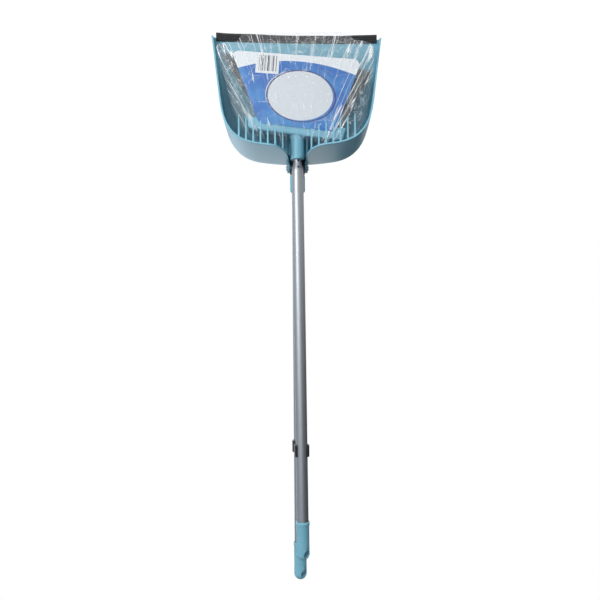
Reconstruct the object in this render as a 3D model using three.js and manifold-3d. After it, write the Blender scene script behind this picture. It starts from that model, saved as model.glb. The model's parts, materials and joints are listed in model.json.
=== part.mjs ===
// Lobby dust pan and brush set: a deep pan hinged on a long handle, with an angled broom clipped in front.
// Every piece is drawn with the set laid on its back: x across, y from the grips towards the pan's lip,
// z up off the bench, with the origin at the centre of the pan grip's hanging hole. One group at the end
// turns the whole set so that it hangs from that hole, +Z up. Millimetres and degrees.

import * as THREE from 'three';
import { mergeVertices } from 'three/addons/utils/BufferGeometryUtils.js';
import Module from 'manifold-3d';

const wasm = await Module();
wasm.setup();

// ---------------------------------------------------------------- driving dimensions

const GAP = 0.3; // clearance between pieces that touch
const PIVOT_Y = 712.6; // hanging hole to the pan's hinge
const ROUND_SIDES = 40; // facets around a large round piece
const SMALL_SIDES = 24; // facets around a pin or a hole

const tube = { radius: 10, wall: 0.9 };

const LIP_HALF_WIDTH = 149; // half the pan's width at the lip corners
const LIP_Y = 234; // hinge to the lip corners
const STAND_OFF = 38; // broom tube axis in front of the pan tube axis

const pan = {
  floorThickness: 2.6,
  wall: 2.6,
  lipHalfWidth: LIP_HALF_WIDTH,
  shoulderHalfWidth: LIP_HALF_WIDTH - 18, // half the width where the straight sides end
  shoulderY: LIP_Y - 130, // hinge to the end of the straight sides
  rearY: 6, // hinge to the foot of the rear wall, at the middle
  lipY: LIP_Y,
  footRadius: 12, // rounding between floor and walls
  lipFootRadius: 1.2, // the same at the lip, where the rubber strip meets the walls
  hoodHeight: tube.radius + STAND_OFF + 58, // height of the hood's rim, well clear of the stored broom
  lipHeight: 27, // height of the side walls at the lip
  hoodFlatY: 40, // how far the hood keeps its full height
  lipRake: 8, // how far the front edges of the side walls lean back
  rearLean: 12.5, // how far the rear wall leans in at the hood's rim
  sideLean: 4, // the same for the side walls
  hingeHeight: tube.radius + 4, // hinge axis above the pan's back
};

const notch = {
  halfWidth: tube.radius + 5, // slot in the rear wall for the broom neck and the handle
  straightHeight: 48, // height at which the slot starts to flare
  rimHalfWidth: 48, // half the slot's width where it meets the rim
  recessY: 18, // hinge to the recess's far wall
  recessHeight: pan.hingeHeight + STAND_OFF - 18, // the recess walls end just behind the broom's bag
};

const ear = { innerX: tube.radius + 3.5, thickness: 4.5, radius: 8, rootY: 16 };
const pin = { radius: 3, headRadius: 4.6, headThickness: 1.4 };
const yoke = { radius: tube.radius + 1, shoulder: 3.2, stemLength: 46 };
const socket = { radius: tube.radius + 3.25, length: 31, chamfer: 1.6 };
const SOCKET_FACE = yoke.radius + GAP; // hinge to the socket's near end

const comb = {
  teeth: 7,
  firstX: 24,
  lastX: pan.shoulderHalfWidth * 0.7237,
  width: 2.4,
  depth: 4,
  tipY: 52.5, // hinge to the tip of the innermost tooth
  tipStep: 3, // each tooth outwards reaches this much further
  railThickness: 2.2,
};

const lip = {
  halfLength: LIP_HALF_WIDTH - 6,
  backY: LIP_Y - 7,
  frontY: LIP_Y + 9.5,
  thickness: 3.6,
  ribs: 4,
  ribHeight: 0.9,
  flange: 1, // thickness of the part that lies in the step under the floor
  clearance: 0.1, // the flange stays this much inside the pan's flat back
};
const LIP_STEP = lip.clearance + lip.flange + GAP; // height of the step under the floor's front edge

const grip = {
  radius: tube.radius + 1,
  collarRadius: tube.radius + 1.75,
  collarLength: 6,
  length: 66,
  holeRadius: 6.5,
  holeFromTip: 11.5,
  holeTurn: 40, // the hanging hole's axis is turned this far about the tube
  solidEnd: 23.5, // solid length beyond the tube's end
};

const NECK_Y = PIVOT_Y + 28; // hanging hole to the point where the broom's axis crosses the middle plane

const broom = {
  standOff: STAND_OFF,
  lean: 0.43, // the broom leans this far to one side
  gripTip: 36.6 - NECK_Y, // broom coordinates from here on: y = 0 at the neck point
  tubeEnd: -6,
  neckStart: -20.3,
  neckEnd: 19,
  neckRadius: tube.radius + 1.5,
  swageStart: -42,
  swageRadius: tube.radius * 0.65,
  crimpsY: [-22.6, -34.4],
  crimpX: 1.8,
  crimpRadius: 1.4,
  crimpDepth: 1.1,
};

const head = {
  tilt: 8, // the head is set at this angle to the tube
  left: 63 - LIP_HALF_WIDTH,
  right: LIP_HALF_WIDTH - 69,
  thickness: 22,
  halfDepth: 14,
  edge: 3, // rounding of the cap's long edges
  blockBack: 6,
  blockFront: 19,
  blockHalfDepth: 11.4,
  bristleLeft: 79 - LIP_HALF_WIDTH,
  bristleRight: LIP_HALF_WIDTH - 75,
  tipLeft: 2 - LIP_HALF_WIDTH,
  tipRight: LIP_HALF_WIDTH - 36,
  tipY: LIP_Y - 107,
  rootHalfDepth: 9.2,
  tipHalfDepth: 13,
};

const ferrule = { shankInTube: 12.6, threadLength: 12, threadPitch: 3, threadDepth: 0.9 };
const card = { thickness: 0.5, corner: 16, lift: 0.7 };
const film = { thickness: 0.6 };
const clip = { y: 223.6, length: 20, wall: 2.7, webHalfWidth: 5, openAngle: 50 };

// ---------------------------------------------------------------- colours and finishes

const finishes = {
  bluePlastic: { color: '#86b4c6', roughness: 0.42, metalness: 0 },
  blackPlastic: { color: '#16181a', roughness: 0.45, metalness: 0 },
  blackRubber: { color: '#131415', roughness: 0.75, metalness: 0 },
  greyTube: { color: '#8b9096', roughness: 0.35, metalness: 0.6 },
  steel: { color: '#b9bcc0', roughness: 0.3, metalness: 1 },
  bristle: { color: '#5a6468', roughness: 0.7, metalness: 0 },
  block: { color: '#2b2f33', roughness: 0.6, metalness: 0 },
  print: { color: '#2f7fc0', roughness: 0.4, metalness: 0 },
  film: { color: '#eef4f6', roughness: 0.1, metalness: 0, transparent: true, opacity: 0.25 },
};

// ---------------------------------------------------------------- solids and booleans

function cleanGeometry(geometry) {
  const bare = geometry.clone();
  for (const name of Object.keys(bare.attributes)) {
    if (name !== 'position') bare.deleteAttribute(name);
  }
  const merged = mergeVertices(bare, 1e-4);
  const index = [];
  for (let i = 0; i < merged.index.count; i += 3) {
    const [a, b, c] = [merged.index.getX(i), merged.index.getX(i + 1), merged.index.getX(i + 2)];
    if (a !== b && b !== c && a !== c) index.push(a, b, c);
  }
  if (signedVolume(merged.attributes.position, index) < 0) index.reverse();
  merged.setIndex(index);
  return merged;
}

function signedVolume(position, index) {
  const [a, b, c] = [new THREE.Vector3(), new THREE.Vector3(), new THREE.Vector3()];
  let volume = 0;
  for (let i = 0; i < index.length; i += 3) {
    a.fromBufferAttribute(position, index[i]);
    b.fromBufferAttribute(position, index[i + 1]);
    c.fromBufferAttribute(position, index[i + 2]);
    volume += a.dot(b.cross(c)) / 6;
  }
  return volume;
}

function solidOf(geometry) {
  const clean = cleanGeometry(geometry);
  const vertProperties = new Float32Array(clean.attributes.position.array);
  const triVerts = new Uint32Array(clean.index.array);
  return new wasm.Manifold(new wasm.Mesh({ numProp: 3, vertProperties, triVerts }));
}

function geometryOf(solid) {
  const mesh = solid.getMesh();
  const geometry = new THREE.BufferGeometry();
  geometry.setAttribute('position', new THREE.BufferAttribute(new Float32Array(mesh.vertProperties), 3));
  geometry.setIndex(new THREE.BufferAttribute(new Uint32Array(mesh.triVerts), 1));
  return geometry;
}

function join(first, ...others) {
  return geometryOf(others.reduce((sum, other) => sum.add(solidOf(other)), solidOf(first)));
}

function cut(first, ...others) {
  return geometryOf(others.reduce((rest, other) => rest.subtract(solidOf(other)), solidOf(first)));
}

// ---------------------------------------------------------------- shapes used again and again

const v2 = (x, y) => new THREE.Vector2(x, y);

// A round piece about the y axis; the outline is [radius, y] pairs.
function turned(outline, sides = ROUND_SIDES) {
  return new THREE.LatheGeometry(outline.map(([radius, y]) => v2(radius, y)), sides);
}

// A cylinder about the y axis between two places.
function rod(radius, fromY, toY, sides = ROUND_SIDES) {
  return turned([[0, fromY], [radius, fromY], [radius, toY], [0, toY]], sides);
}

// A cylinder about the x axis between two places.
function crossRod(radius, fromX, toX, sides = SMALL_SIDES) {
  return rod(radius, -toX, -fromX, sides).rotateZ(Math.PI / 2);
}

// A box given by its lowest and highest corners.
function box(low, high) {
  const size = high.map((value, axis) => value - low[axis]);
  const centre = high.map((value, axis) => (value + low[axis]) / 2);
  return new THREE.BoxGeometry(...size).translate(...centre);
}

// A flat outline pushed up from one height to another.
function slab(shape, fromZ, toZ, curveSegments = 12) {
  const depth = toZ - fromZ;
  const geometry = new THREE.ExtrudeGeometry(shape, { depth, bevelEnabled: false, curveSegments });
  return geometry.translate(0, 0, fromZ);
}

function polygon(points) {
  return new THREE.Shape(points.map(([x, y]) => v2(x, y)));
}

// A closed skin over rings of the same number of points, with flat ends.
function skin(rings) {
  const count = rings[0].length;
  const positions = rings.flat().flatMap((point) => [point.x, point.y, point.z]);
  const index = [];
  for (let ring = 0; ring < rings.length - 1; ring += 1) {
    for (let i = 0; i < count; i += 1) {
      const next = (i + 1) % count;
      const [a, b] = [ring * count + i, ring * count + next];
      index.push(a, b, b + count, a, b + count, a + count);
    }
  }
  const [low, high] = [0, (rings.length - 1) * count];
  for (const [a, b, c] of endTriangles(rings[0])) index.push(low + a, low + c, low + b);
  for (const [a, b, c] of endTriangles(rings[rings.length - 1])) index.push(high + a, high + b, high + c);
  const geometry = new THREE.BufferGeometry();
  geometry.setAttribute('position', new THREE.Float32BufferAttribute(positions, 3));
  geometry.setIndex(index);
  return geometry;
}

// Triangles that close a ring, all wound the way the ring runs.
function endTriangles(ring) {
  const normal = new THREE.Vector3();
  ring.forEach((point, i) => normal.add(point.clone().cross(ring[(i + 1) % ring.length])));
  normal.normalize();
  const across = ring[1].clone().sub(ring[0]).normalize();
  const up = normal.clone().cross(across);
  const flat = ring.map((point) => v2(point.dot(across), point.dot(up)));
  return THREE.ShapeUtils.triangulateShape(flat, []);
}

// A flattened tube's cross-section between two side points, straight faces with round sides.
function stadium(left, right, halfDepth, steps = 8) {
  const across = v2(right[0] - left[0], right[1] - left[1]).normalize();
  const ring = [];
  for (const [side, end] of [[1, right], [-1, left]]) {
    for (let i = 0; i <= steps; i += 1) {
      const angle = -Math.PI / 2 + (Math.PI * i) / steps;
      const reach = halfDepth * (Math.cos(angle) - 1) * side;
      ring.push(new THREE.Vector3(
        end[0] + across.x * reach, end[1] + across.y * reach, halfDepth * Math.sin(angle) * side));
    }
  }
  return ring;
}

// ---------------------------------------------------------------- the pan
// Pan coordinates: y = 0 at the hinge, z = 0 at the pan's flat back.

function panOutline() {
  const { lipHalfWidth, shoulderHalfWidth, shoulderY, rearY, lipY } = pan;
  const path = new THREE.Path();
  path.moveTo(lipHalfWidth, lipY);
  for (let step = 1; step <= 6; step += 1) {
    const share = step / 6;
    path.lineTo(
      THREE.MathUtils.lerp(lipHalfWidth, shoulderHalfWidth, share),
      THREE.MathUtils.lerp(lipY, shoulderY, share));
  }
  const cornerEndX = shoulderHalfWidth / 2 - 3.5;
  const cornerEndY = rearY + 4.5;
  path.bezierCurveTo(
    shoulderHalfWidth - 5.5, shoulderY - 38,
    shoulderHalfWidth - 12, rearY + 12,
    cornerEndX, cornerEndY);
  path.quadraticCurveTo(cornerEndX / 2, rearY, 0, rearY);
  const half = path.getPoints(14);
  const mirrored = half.slice(0, -1).reverse().map((point) => v2(-point.x, point.y));
  return [...half, ...mirrored];
}

// The pan's outline at one height, drawn in by a wall thickness, from lip corner to lip corner.
function panRing(height, inset, footRadius, endY) {
  const outline = panOutline();
  const ring = outline.map((point, i) => {
    const before = outline[Math.max(i - 1, 0)];
    const after = outline[Math.min(i + 1, outline.length - 1)];
    const along = after.clone().sub(before).normalize();
    const inward = v2(along.y, -along.x);
    const share = Math.max(height, 0) / pan.hoodHeight;
    const lean = pan.rearLean * inward.y ** 2 + pan.sideLean * inward.x ** 2 * (1 - point.y / pan.lipY);
    const squareness = THREE.MathUtils.smoothstep(point.y, pan.shoulderY, pan.lipY - 20);
    const localRadius = THREE.MathUtils.lerp(footRadius, pan.lipFootRadius, squareness);
    const risen = Math.min(Math.max(height - inset, 0), localRadius);
    const foot = localRadius - Math.sqrt(localRadius ** 2 - (localRadius - risen) ** 2);
    const shift = inset + lean * share ** 1.3 + foot;
    return v2(point.x + inward.x * shift, point.y + inward.y * shift);
  });
  ring[0].y = pan.lipY;
  ring[ring.length - 1].y = pan.lipY;
  if (endY > pan.lipY) {
    ring.unshift(v2(ring[0].x + 1, endY));
    ring.push(v2(-ring[0].x, endY));
  }
  return ring.map((point) => new THREE.Vector3(point.x, point.y, height));
}

function tub(inset, bottom, top, endY) {
  const footRadius = pan.footRadius - inset;
  const heights = [];
  for (const angle of [0, 20, 40, 65, 90]) {
    heights.push(bottom + footRadius * (1 - Math.cos(THREE.MathUtils.degToRad(angle))));
  }
  const wallSteps = 5;
  const wallFoot = heights[heights.length - 1];
  for (let step = 1; step <= wallSteps; step += 1) {
    heights.push(THREE.MathUtils.lerp(wallFoot, top, step / wallSteps));
  }
  return skin(heights.map((height) => panRing(height, inset, footRadius, endY)));
}

// Everything above the rim, as seen from the side: level over the hood, then falling to the lip.
function aboveRim() {
  const shape = new THREE.Shape();
  const high = pan.hoodHeight + 40;
  shape.moveTo(-60, high);
  shape.lineTo(-60, pan.hoodHeight);
  shape.lineTo(pan.hoodFlatY, pan.hoodHeight);
  shape.bezierCurveTo(
    pan.hoodFlatY + 45, pan.hoodHeight,
    pan.hoodFlatY + 70, pan.lipHeight + 31,
    pan.lipY + 10, pan.lipHeight - 2);
  shape.lineTo(pan.lipY + 30, high);
  const reach = pan.lipHalfWidth + 20;
  // The drawing's x runs along the pan and its y is height, so the push goes across.
  const geometry = slab(shape, -reach, reach, 24);
  return geometry.applyMatrix4(new THREE.Matrix4().makeBasis(
    new THREE.Vector3(0, 1, 0), new THREE.Vector3(0, 0, 1), new THREE.Vector3(1, 0, 0)));
}

// Everything in front of the side walls' raked front edges.
function aheadOfWalls() {
  const { lipY, lipHeight, lipRake, floorThickness } = pan;
  const reach = pan.lipHalfWidth + 20;
  const high = lipHeight + 60;
  const shape = polygon([
    [lipY, floorThickness + GAP], [lipY + 40, floorThickness + GAP], [lipY + 40, high],
    [lipY - lipRake, high], [lipY - lipRake, lipHeight]]);
  return slab(shape, -reach, reach).applyMatrix4(new THREE.Matrix4().makeBasis(
    new THREE.Vector3(0, 1, 0), new THREE.Vector3(0, 0, 1), new THREE.Vector3(1, 0, 0)));
}

// The slot's outline above the recess, seen from behind: straight at first, flaring out to the rim.
function notchShape() {
  const { halfWidth, straightHeight, rimHalfWidth, recessHeight } = notch;
  const top = pan.hoodHeight + 10;
  const shape = new THREE.Shape();
  shape.moveTo(-halfWidth, recessHeight);
  shape.lineTo(halfWidth, recessHeight);
  shape.lineTo(halfWidth, straightHeight);
  shape.bezierCurveTo(
    halfWidth + 1, pan.hoodHeight - 32, halfWidth + 12, pan.hoodHeight, rimHalfWidth, pan.hoodHeight + 0.5);
  shape.lineTo(rimHalfWidth, top);
  shape.lineTo(-rimHalfWidth, top);
  shape.lineTo(-rimHalfWidth, pan.hoodHeight + 0.5);
  shape.bezierCurveTo(
    -halfWidth - 12, pan.hoodHeight, -halfWidth - 1, pan.hoodHeight - 32, -halfWidth, straightHeight);
  return shape;
}

// The slot cut through the rear wall and the floor: as far as the recess's far wall at the foot,
// and right through the leaning hood above it.
function notchCutter() {
  const { halfWidth, recessY, recessHeight } = notch;
  const behind = -60;
  const through = recessY + pan.rearLean + 12;
  const foot = box([-halfWidth, behind, -1], [halfWidth, recessY, recessHeight + 1]);
  const throat = slab(notchShape(), behind, through, 10).applyMatrix4(new THREE.Matrix4().makeBasis(
    new THREE.Vector3(-1, 0, 0), new THREE.Vector3(0, 0, 1), new THREE.Vector3(0, 1, 0)));
  return join(foot, throat);
}

// Height of the rim at a distance from the middle, lower where the slot flares.
function rimHeightAt(x) {
  const points = notchShape().getPoints(10).filter((point) => point.x >= notch.halfWidth);
  const upper = points.filter((point) => point.y >= notch.straightHeight);
  upper.sort((a, b) => a.x - b.x);
  const after = upper.findIndex((point) => point.x >= Math.abs(x));
  if (after < 1) return pan.hoodHeight;
  const [a, b] = [upper[after - 1], upper[after]];
  const share = (Math.abs(x) - a.x) / (b.x - a.x || 1);
  return Math.min(THREE.MathUtils.lerp(a.y, b.y, share), pan.hoodHeight);
}

// The inside of the rear wall at a place across the pan and a height.
function rearWallInside(x, height) {
  const ring = panRing(height, pan.wall, pan.footRadius - pan.wall, pan.lipY);
  const rear = ring.filter((point) => point.x >= 0 && point.y < pan.shoulderY).sort((a, b) => a.x - b.x);
  const after = Math.max(rear.findIndex((point) => point.x >= Math.abs(x)), 1);
  const [a, b] = [rear[after - 1], rear[after]];
  return THREE.MathUtils.lerp(a.y, b.y, (Math.abs(x) - a.x) / (b.x - a.x));
}

function panEar(side) {
  const shape = new THREE.Shape();
  shape.moveTo(ear.rootY, 0);
  shape.lineTo(ear.rootY, pan.hingeHeight + ear.radius);
  shape.lineTo(0, pan.hingeHeight + ear.radius);
  shape.absarc(0, pan.hingeHeight, ear.radius, Math.PI / 2, Math.PI, false);
  shape.lineTo(-ear.radius, pan.hingeHeight - 4);
  shape.lineTo(-2, 0);
  const geometry = slab(shape, ear.innerX, ear.innerX + ear.thickness, 10);
  geometry.applyMatrix4(new THREE.Matrix4().makeBasis(
    new THREE.Vector3(0, 1, 0), new THREE.Vector3(0, 0, 1), new THREE.Vector3(1, 0, 0)));
  return side > 0 ? geometry : geometry.applyMatrix4(new THREE.Matrix4().makeScale(-1, 1, 1));
}

function panShell() {
  const outer = tub(0, 0, pan.hoodHeight + 14, pan.lipY);
  const inner = tub(pan.wall, pan.floorThickness, pan.hoodHeight + 20, pan.lipY + 20);
  const hollow = solidOf(outer).subtract(solidOf(inner))
    .subtract(solidOf(aboveRim())).subtract(solidOf(aheadOfWalls()));
  const { halfWidth, recessY, recessHeight } = notch;
  const thickness = pan.wall;
  const recess = join(
    box([-halfWidth - thickness, recessY, 0.5], [halfWidth + thickness, recessY + thickness, recessHeight]),
    box([-halfWidth - thickness, pan.rearY + 4, 0.5], [-halfWidth, recessY + 1, recessHeight]),
    box([halfWidth, pan.rearY + 4, 0.5], [halfWidth + thickness, recessY + 1, recessHeight]));
  const recessTrim = aboveRim();
  const walled = hollow.add(solidOf(recess).subtract(solidOf(recessTrim))).subtract(solidOf(notchCutter()));
  const yokeRoom = crossRod(yoke.radius + 1, -ear.innerX, ear.innerX).translate(0, 0, pan.hingeHeight);
  const eared = walled.subtract(solidOf(yokeRoom)).add(solidOf(panEar(1))).add(solidOf(panEar(-1)));
  const bore = crossRod(pin.radius + GAP, -40, 40).translate(0, 0, pan.hingeHeight);
  const step = box(
    [-lip.halfLength - GAP, lip.backY + 1 - GAP, -1], [lip.halfLength + GAP, pan.lipY + 1, LIP_STEP]);
  return geometryOf(eared.subtract(solidOf(bore)).subtract(solidOf(step)));
}

function combTeeth(side) {
  const { teeth, firstX, lastX, width, depth, tipY, tipStep, railThickness } = comb;
  const pieces = [];
  const rings = [];
  const pitch = (lastX - firstX) / (teeth - 1);
  const railSteps = (teeth - 1) * 2;
  for (let step = 0; step <= railSteps; step += 1) {
    const x = THREE.MathUtils.lerp(firstX - width / 2, lastX + width / 2, step / railSteps);
    const top = rimHeightAt(x) - 0.5;
    const wallTop = rearWallInside(x, top) + GAP;
    const wallFoot = rearWallInside(x, top - depth) + GAP;
    rings.push([
      new THREE.Vector3(x, wallFoot, top - depth), new THREE.Vector3(x, wallTop, top),
      new THREE.Vector3(x, wallTop + railThickness, top),
      new THREE.Vector3(x, wallTop + railThickness, top - depth)]);
  }
  for (let tooth = 0; tooth < teeth; tooth += 1) {
    const x = firstX + pitch * tooth;
    const top = rimHeightAt(x) - 0.6;
    const root = rearWallInside(x, top) + GAP + 0.4;
    const tip = tipY + tipStep * tooth;
    const outline = polygon([
      [root, top - depth + 0.2], [tip - 1, top - depth + 1.2],
      [tip, top - 1.2], [tip - 1, top - 0.4], [root, top]]);
    const blade = slab(outline, x - width / 2, x + width / 2);
    pieces.push(blade.applyMatrix4(new THREE.Matrix4().makeBasis(
      new THREE.Vector3(0, 1, 0), new THREE.Vector3(0, 0, 1), new THREE.Vector3(1, 0, 0))));
  }
  const whole = join(skin(rings), ...pieces);
  return side > 0 ? whole : whole.applyMatrix4(new THREE.Matrix4().makeScale(-1, 1, 1));
}

// The rubber strip: a channel on the floor's front edge, ribbed on top, its flange flush in the step below.
function lipStrip() {
  const { backY, frontY, thickness, ribs, ribHeight, flange, clearance } = lip;
  const floorTop = pan.floorThickness + GAP;
  const crown = floorTop + thickness - 1;
  const outline = [[backY, floorTop]];
  const ribPitch = (frontY - 3 - backY) / ribs;
  for (let rib = 0; rib < ribs; rib += 1) {
    const start = backY + 0.6 + rib * ribPitch;
    const height = crown - rib * 0.35;
    outline.push(
      [start, height - ribHeight], [start + ribPitch * 0.3, height], [start + ribPitch * 0.7, height]);
  }
  outline.push([frontY - 2.4, crown - 2.6], [frontY, 1.4], [frontY - 1, clearance], [backY + 1, clearance]);
  outline.push(
    [backY + 1, clearance + flange], [pan.lipY + GAP, clearance + flange], [pan.lipY + GAP, floorTop]);
  const geometry = slab(polygon(outline), -lip.halfLength, lip.halfLength);
  return geometry.applyMatrix4(new THREE.Matrix4().makeBasis(
    new THREE.Vector3(0, 1, 0), new THREE.Vector3(0, 0, 1), new THREE.Vector3(1, 0, 0)));
}

function hingePin() {
  const reach = ear.innerX + ear.thickness + GAP;
  const shaft = crossRod(pin.radius, -reach - 1, reach + 1);
  const heads = [1, -1].map((side) => {
    const from = side > 0 ? reach : -reach - pin.headThickness;
    return crossRod(pin.headRadius, from, from + pin.headThickness);
  });
  return join(shaft, ...heads);
}

// ---------------------------------------------------------------- the pan's handle
// Handle coordinates: y = 0 at the hanging hole, z = 0 on the tube's axis.

function hingeYoke() {
  const shoulderEnd = PIVOT_Y - SOCKET_FACE - GAP;
  const knuckle = crossRod(yoke.radius, -ear.innerX + GAP, ear.innerX - GAP, 32).translate(0, PIVOT_Y, 0);
  const shoulder = rod(tube.radius, shoulderEnd - yoke.shoulder, PIVOT_Y - 4);
  const stem = rod(tube.radius - tube.wall - GAP, shoulderEnd - yoke.shoulder - yoke.stemLength, shoulderEnd);
  const bore = crossRod(pin.radius + GAP, -40, 40).translate(0, PIVOT_Y, 0);
  return cut(join(knuckle, shoulder, stem), bore);
}

function handleSocket() {
  const far = PIVOT_Y - SOCKET_FACE;
  const near = far - socket.length;
  const inside = tube.radius + GAP;
  const { radius, chamfer } = socket;
  return turned([
    [inside, near], [radius - chamfer, near], [radius, near + chamfer * 1.6],
    [radius, far - chamfer * 1.6], [radius - chamfer, far], [inside, far], [inside, near]]);
}

function panTube() {
  const start = -grip.holeFromTip + grip.solidEnd + GAP;
  const end = PIVOT_Y - SOCKET_FACE - GAP - yoke.shoulder - GAP;
  return plainTube(start, end);
}

function plainTube(start, end) {
  const inside = tube.radius - tube.wall;
  return turned([[inside, start], [tube.radius, start], [tube.radius, end], [inside, end], [inside, start]]);
}

// A moulded grip that starts at its round tip, y = 0, and grows along +y over the tube's end.
function gripBody() {
  const { radius, collarRadius, collarLength, length, solidEnd } = grip;
  const outline = [[0, 0]];
  for (let step = 1; step <= 8; step += 1) {
    const angle = (Math.PI / 2) * (step / 8);
    outline.push([radius * Math.sin(angle), radius * (1 - Math.cos(angle))]);
  }
  const bore = tube.radius + GAP;
  outline.push(
    [radius, length - collarLength - 1], [collarRadius, length - collarLength], [collarRadius, length - 0.8],
    [collarRadius - 0.8, length], [bore, length], [bore, solidEnd], [0, solidEnd]);
  const hole = rod(grip.holeRadius, -20, 20, SMALL_SIDES)
    .rotateX(Math.PI / 2)
    .rotateY(THREE.MathUtils.degToRad(grip.holeTurn))
    .translate(0, grip.holeFromTip, 0);
  return cut(turned(outline), hole);
}

// The double snap clip: one jaw round the pan's tube, the other round the broom's.
function storageClip() {
  const inside = tube.radius + GAP;
  const outside = inside + clip.wall;
  const spacing = broom.standOff;
  const jaw = (centre, openTowards) => {
    const open = THREE.MathUtils.degToRad(clip.openAngle);
    const shape = new THREE.Shape();
    shape.absarc(0, 0, outside, openTowards + open, openTowards - open + Math.PI * 2, false);
    shape.absarc(0, 0, inside, openTowards - open + Math.PI * 2, openTowards + open, true);
    return slab(shape, -clip.length / 2, clip.length / 2, 20).translate(0, centre, 0);
  };
  const web = box(
    [-clip.webHalfWidth, inside + 1, -clip.length / 2],
    [clip.webHalfWidth, spacing - inside - 1, clip.length / 2]);
  const flat = join(jaw(0, -Math.PI / 2), jaw(spacing, Math.PI / 2), web);
  // Drawn with the tubes along z and the broom at +y, then stood up so the tubes run along y.
  return flat.applyMatrix4(new THREE.Matrix4().makeBasis(
    new THREE.Vector3(-1, 0, 0), new THREE.Vector3(0, 0, 1), new THREE.Vector3(0, 1, 0)));
}

// ---------------------------------------------------------------- the broom
// Broom coordinates: y = 0 at the neck point, z = 0 on the broom tube's axis.

function broomTube() {
  const start = broom.gripTip + grip.solidEnd + GAP;
  const end = broom.tubeEnd;
  const { swageStart, neckStart, swageRadius } = broom;
  const outside = [[tube.radius, start], [tube.radius, swageStart]];
  for (let step = 1; step <= 5; step += 1) {
    const share = step / 5;
    const ease = Math.sin((share * Math.PI) / 2) ** 2;
    outside.push([
      THREE.MathUtils.lerp(tube.radius, swageRadius, ease),
      THREE.MathUtils.lerp(swageStart, neckStart, share)]);
  }
  outside.push([swageRadius, end]);
  const inside = outside.map(([radius, y]) => [radius - tube.wall, y]).reverse();
  const body = turned([...outside, ...inside, outside[0]]);
  const crimps = broom.crimpsY.map((y) => {
    const share = (neckStart - y) / (neckStart - swageStart);
    const radiusThere = THREE.MathUtils.lerp(swageRadius, tube.radius, share);
    return new THREE.SphereGeometry(broom.crimpRadius, 10, 8)
      .translate(broom.crimpX, y, radiusThere + broom.crimpRadius - broom.crimpDepth * 0.55);
  });
  return cut(body, ...crimps);
}

// The plug that the tube is swaged on, with a threaded end that screws into the head.
function broomFerrule() {
  const shank = broom.swageRadius - tube.wall - GAP;
  const crest = broom.swageRadius - 0.1;
  const root = crest - ferrule.threadDepth;
  const start = broom.tubeEnd - ferrule.shankInTube;
  const shankEnd = broom.tubeEnd + 0.4 + GAP;
  const threadStart = broom.tubeEnd + 1;
  const outline = [[0, start], [shank, start], [shank, shankEnd], [root, shankEnd]];
  const turns = ferrule.threadLength / ferrule.threadPitch;
  for (let turn = 0; turn < turns; turn += 1) {
    const y = threadStart + turn * ferrule.threadPitch;
    outline.push([root, y + 0.4], [crest, y + 1.1], [crest, y + 1.7], [root, y + 2.4]);
  }
  const end = threadStart + ferrule.threadLength;
  outline.push([root, end], [root - 1.5, end + 1.5], [0, end + 1.5]);
  return turned(outline, SMALL_SIDES);
}

// Head coordinates: y = 0 at the cap's handle side, x along the cap.

function broomCap() {
  const { left, right, thickness, halfDepth, edge } = head;
  const shape = new THREE.Shape();
  const inset = edge;
  shape.moveTo(left + 9, inset);
  shape.quadraticCurveTo(left + 3, inset, left + inset + 1, 8);
  shape.lineTo(left + inset - 1, thickness - inset);
  shape.lineTo(right - inset + 1, thickness - inset);
  shape.lineTo(right - inset - 1, 8);
  shape.quadraticCurveTo(right - 3, inset, right - 9, inset);
  const bar = new THREE.ExtrudeGeometry(shape, {
    depth: 2 * (halfDepth - edge), bevelEnabled: true, bevelThickness: edge, bevelSize: edge,
    bevelSegments: 4, curveSegments: 6,
  }).translate(0, 0, -(halfDepth - edge));
  const { neckStart, neckEnd, neckRadius } = broom;
  const neck = turned([
    [0, neckStart], [neckRadius - 0.8, neckStart], [neckRadius, neckStart + 1.2],
    [neckRadius, neckEnd - 8], [neckRadius + 1.5, neckEnd + 2], [0, neckEnd + 6]])
    .translate(0, -neckEnd, 0)
    .rotateZ(THREE.MathUtils.degToRad(head.tilt));
  const cavity = box(
    [head.bristleLeft - 5, head.blockBack - 1, -head.blockHalfDepth],
    [head.bristleRight + 2, thickness + 10, head.blockHalfDepth]);
  const bore = rod(broom.swageRadius + GAP, neckStart - 5, 9, SMALL_SIDES)
    .translate(0, -neckEnd, 0)
    .rotateZ(THREE.MathUtils.degToRad(head.tilt));
  return cut(join(bar, neck), cavity, bore);
}

function bristleBlock() {
  return box(
    [head.bristleLeft - 5 + GAP, head.blockBack, GAP - head.blockHalfDepth],
    [head.bristleRight + 2 - GAP, head.blockFront, head.blockHalfDepth - GAP]);
}

function bristles() {
  const root = head.blockFront + GAP;
  const mouth = head.thickness + 2;
  const spread = (y) => {
    const share = (y - root) / (head.tipY - root);
    return [
      THREE.MathUtils.lerp(head.bristleLeft, head.tipLeft, share),
      THREE.MathUtils.lerp(head.bristleRight, head.tipRight, share),
      THREE.MathUtils.lerp(head.rootHalfDepth, head.tipHalfDepth, share)];
  };
  const rows = [root, ...[0, 0.36, 0.7, 1].map((share) => THREE.MathUtils.lerp(mouth, head.tipY, share))];
  return skin(rows.map((y) => {
    const [left, right, halfDepth] = spread(y);
    return stadium([left, y], [right, y], halfDepth);
  }));
}

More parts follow.
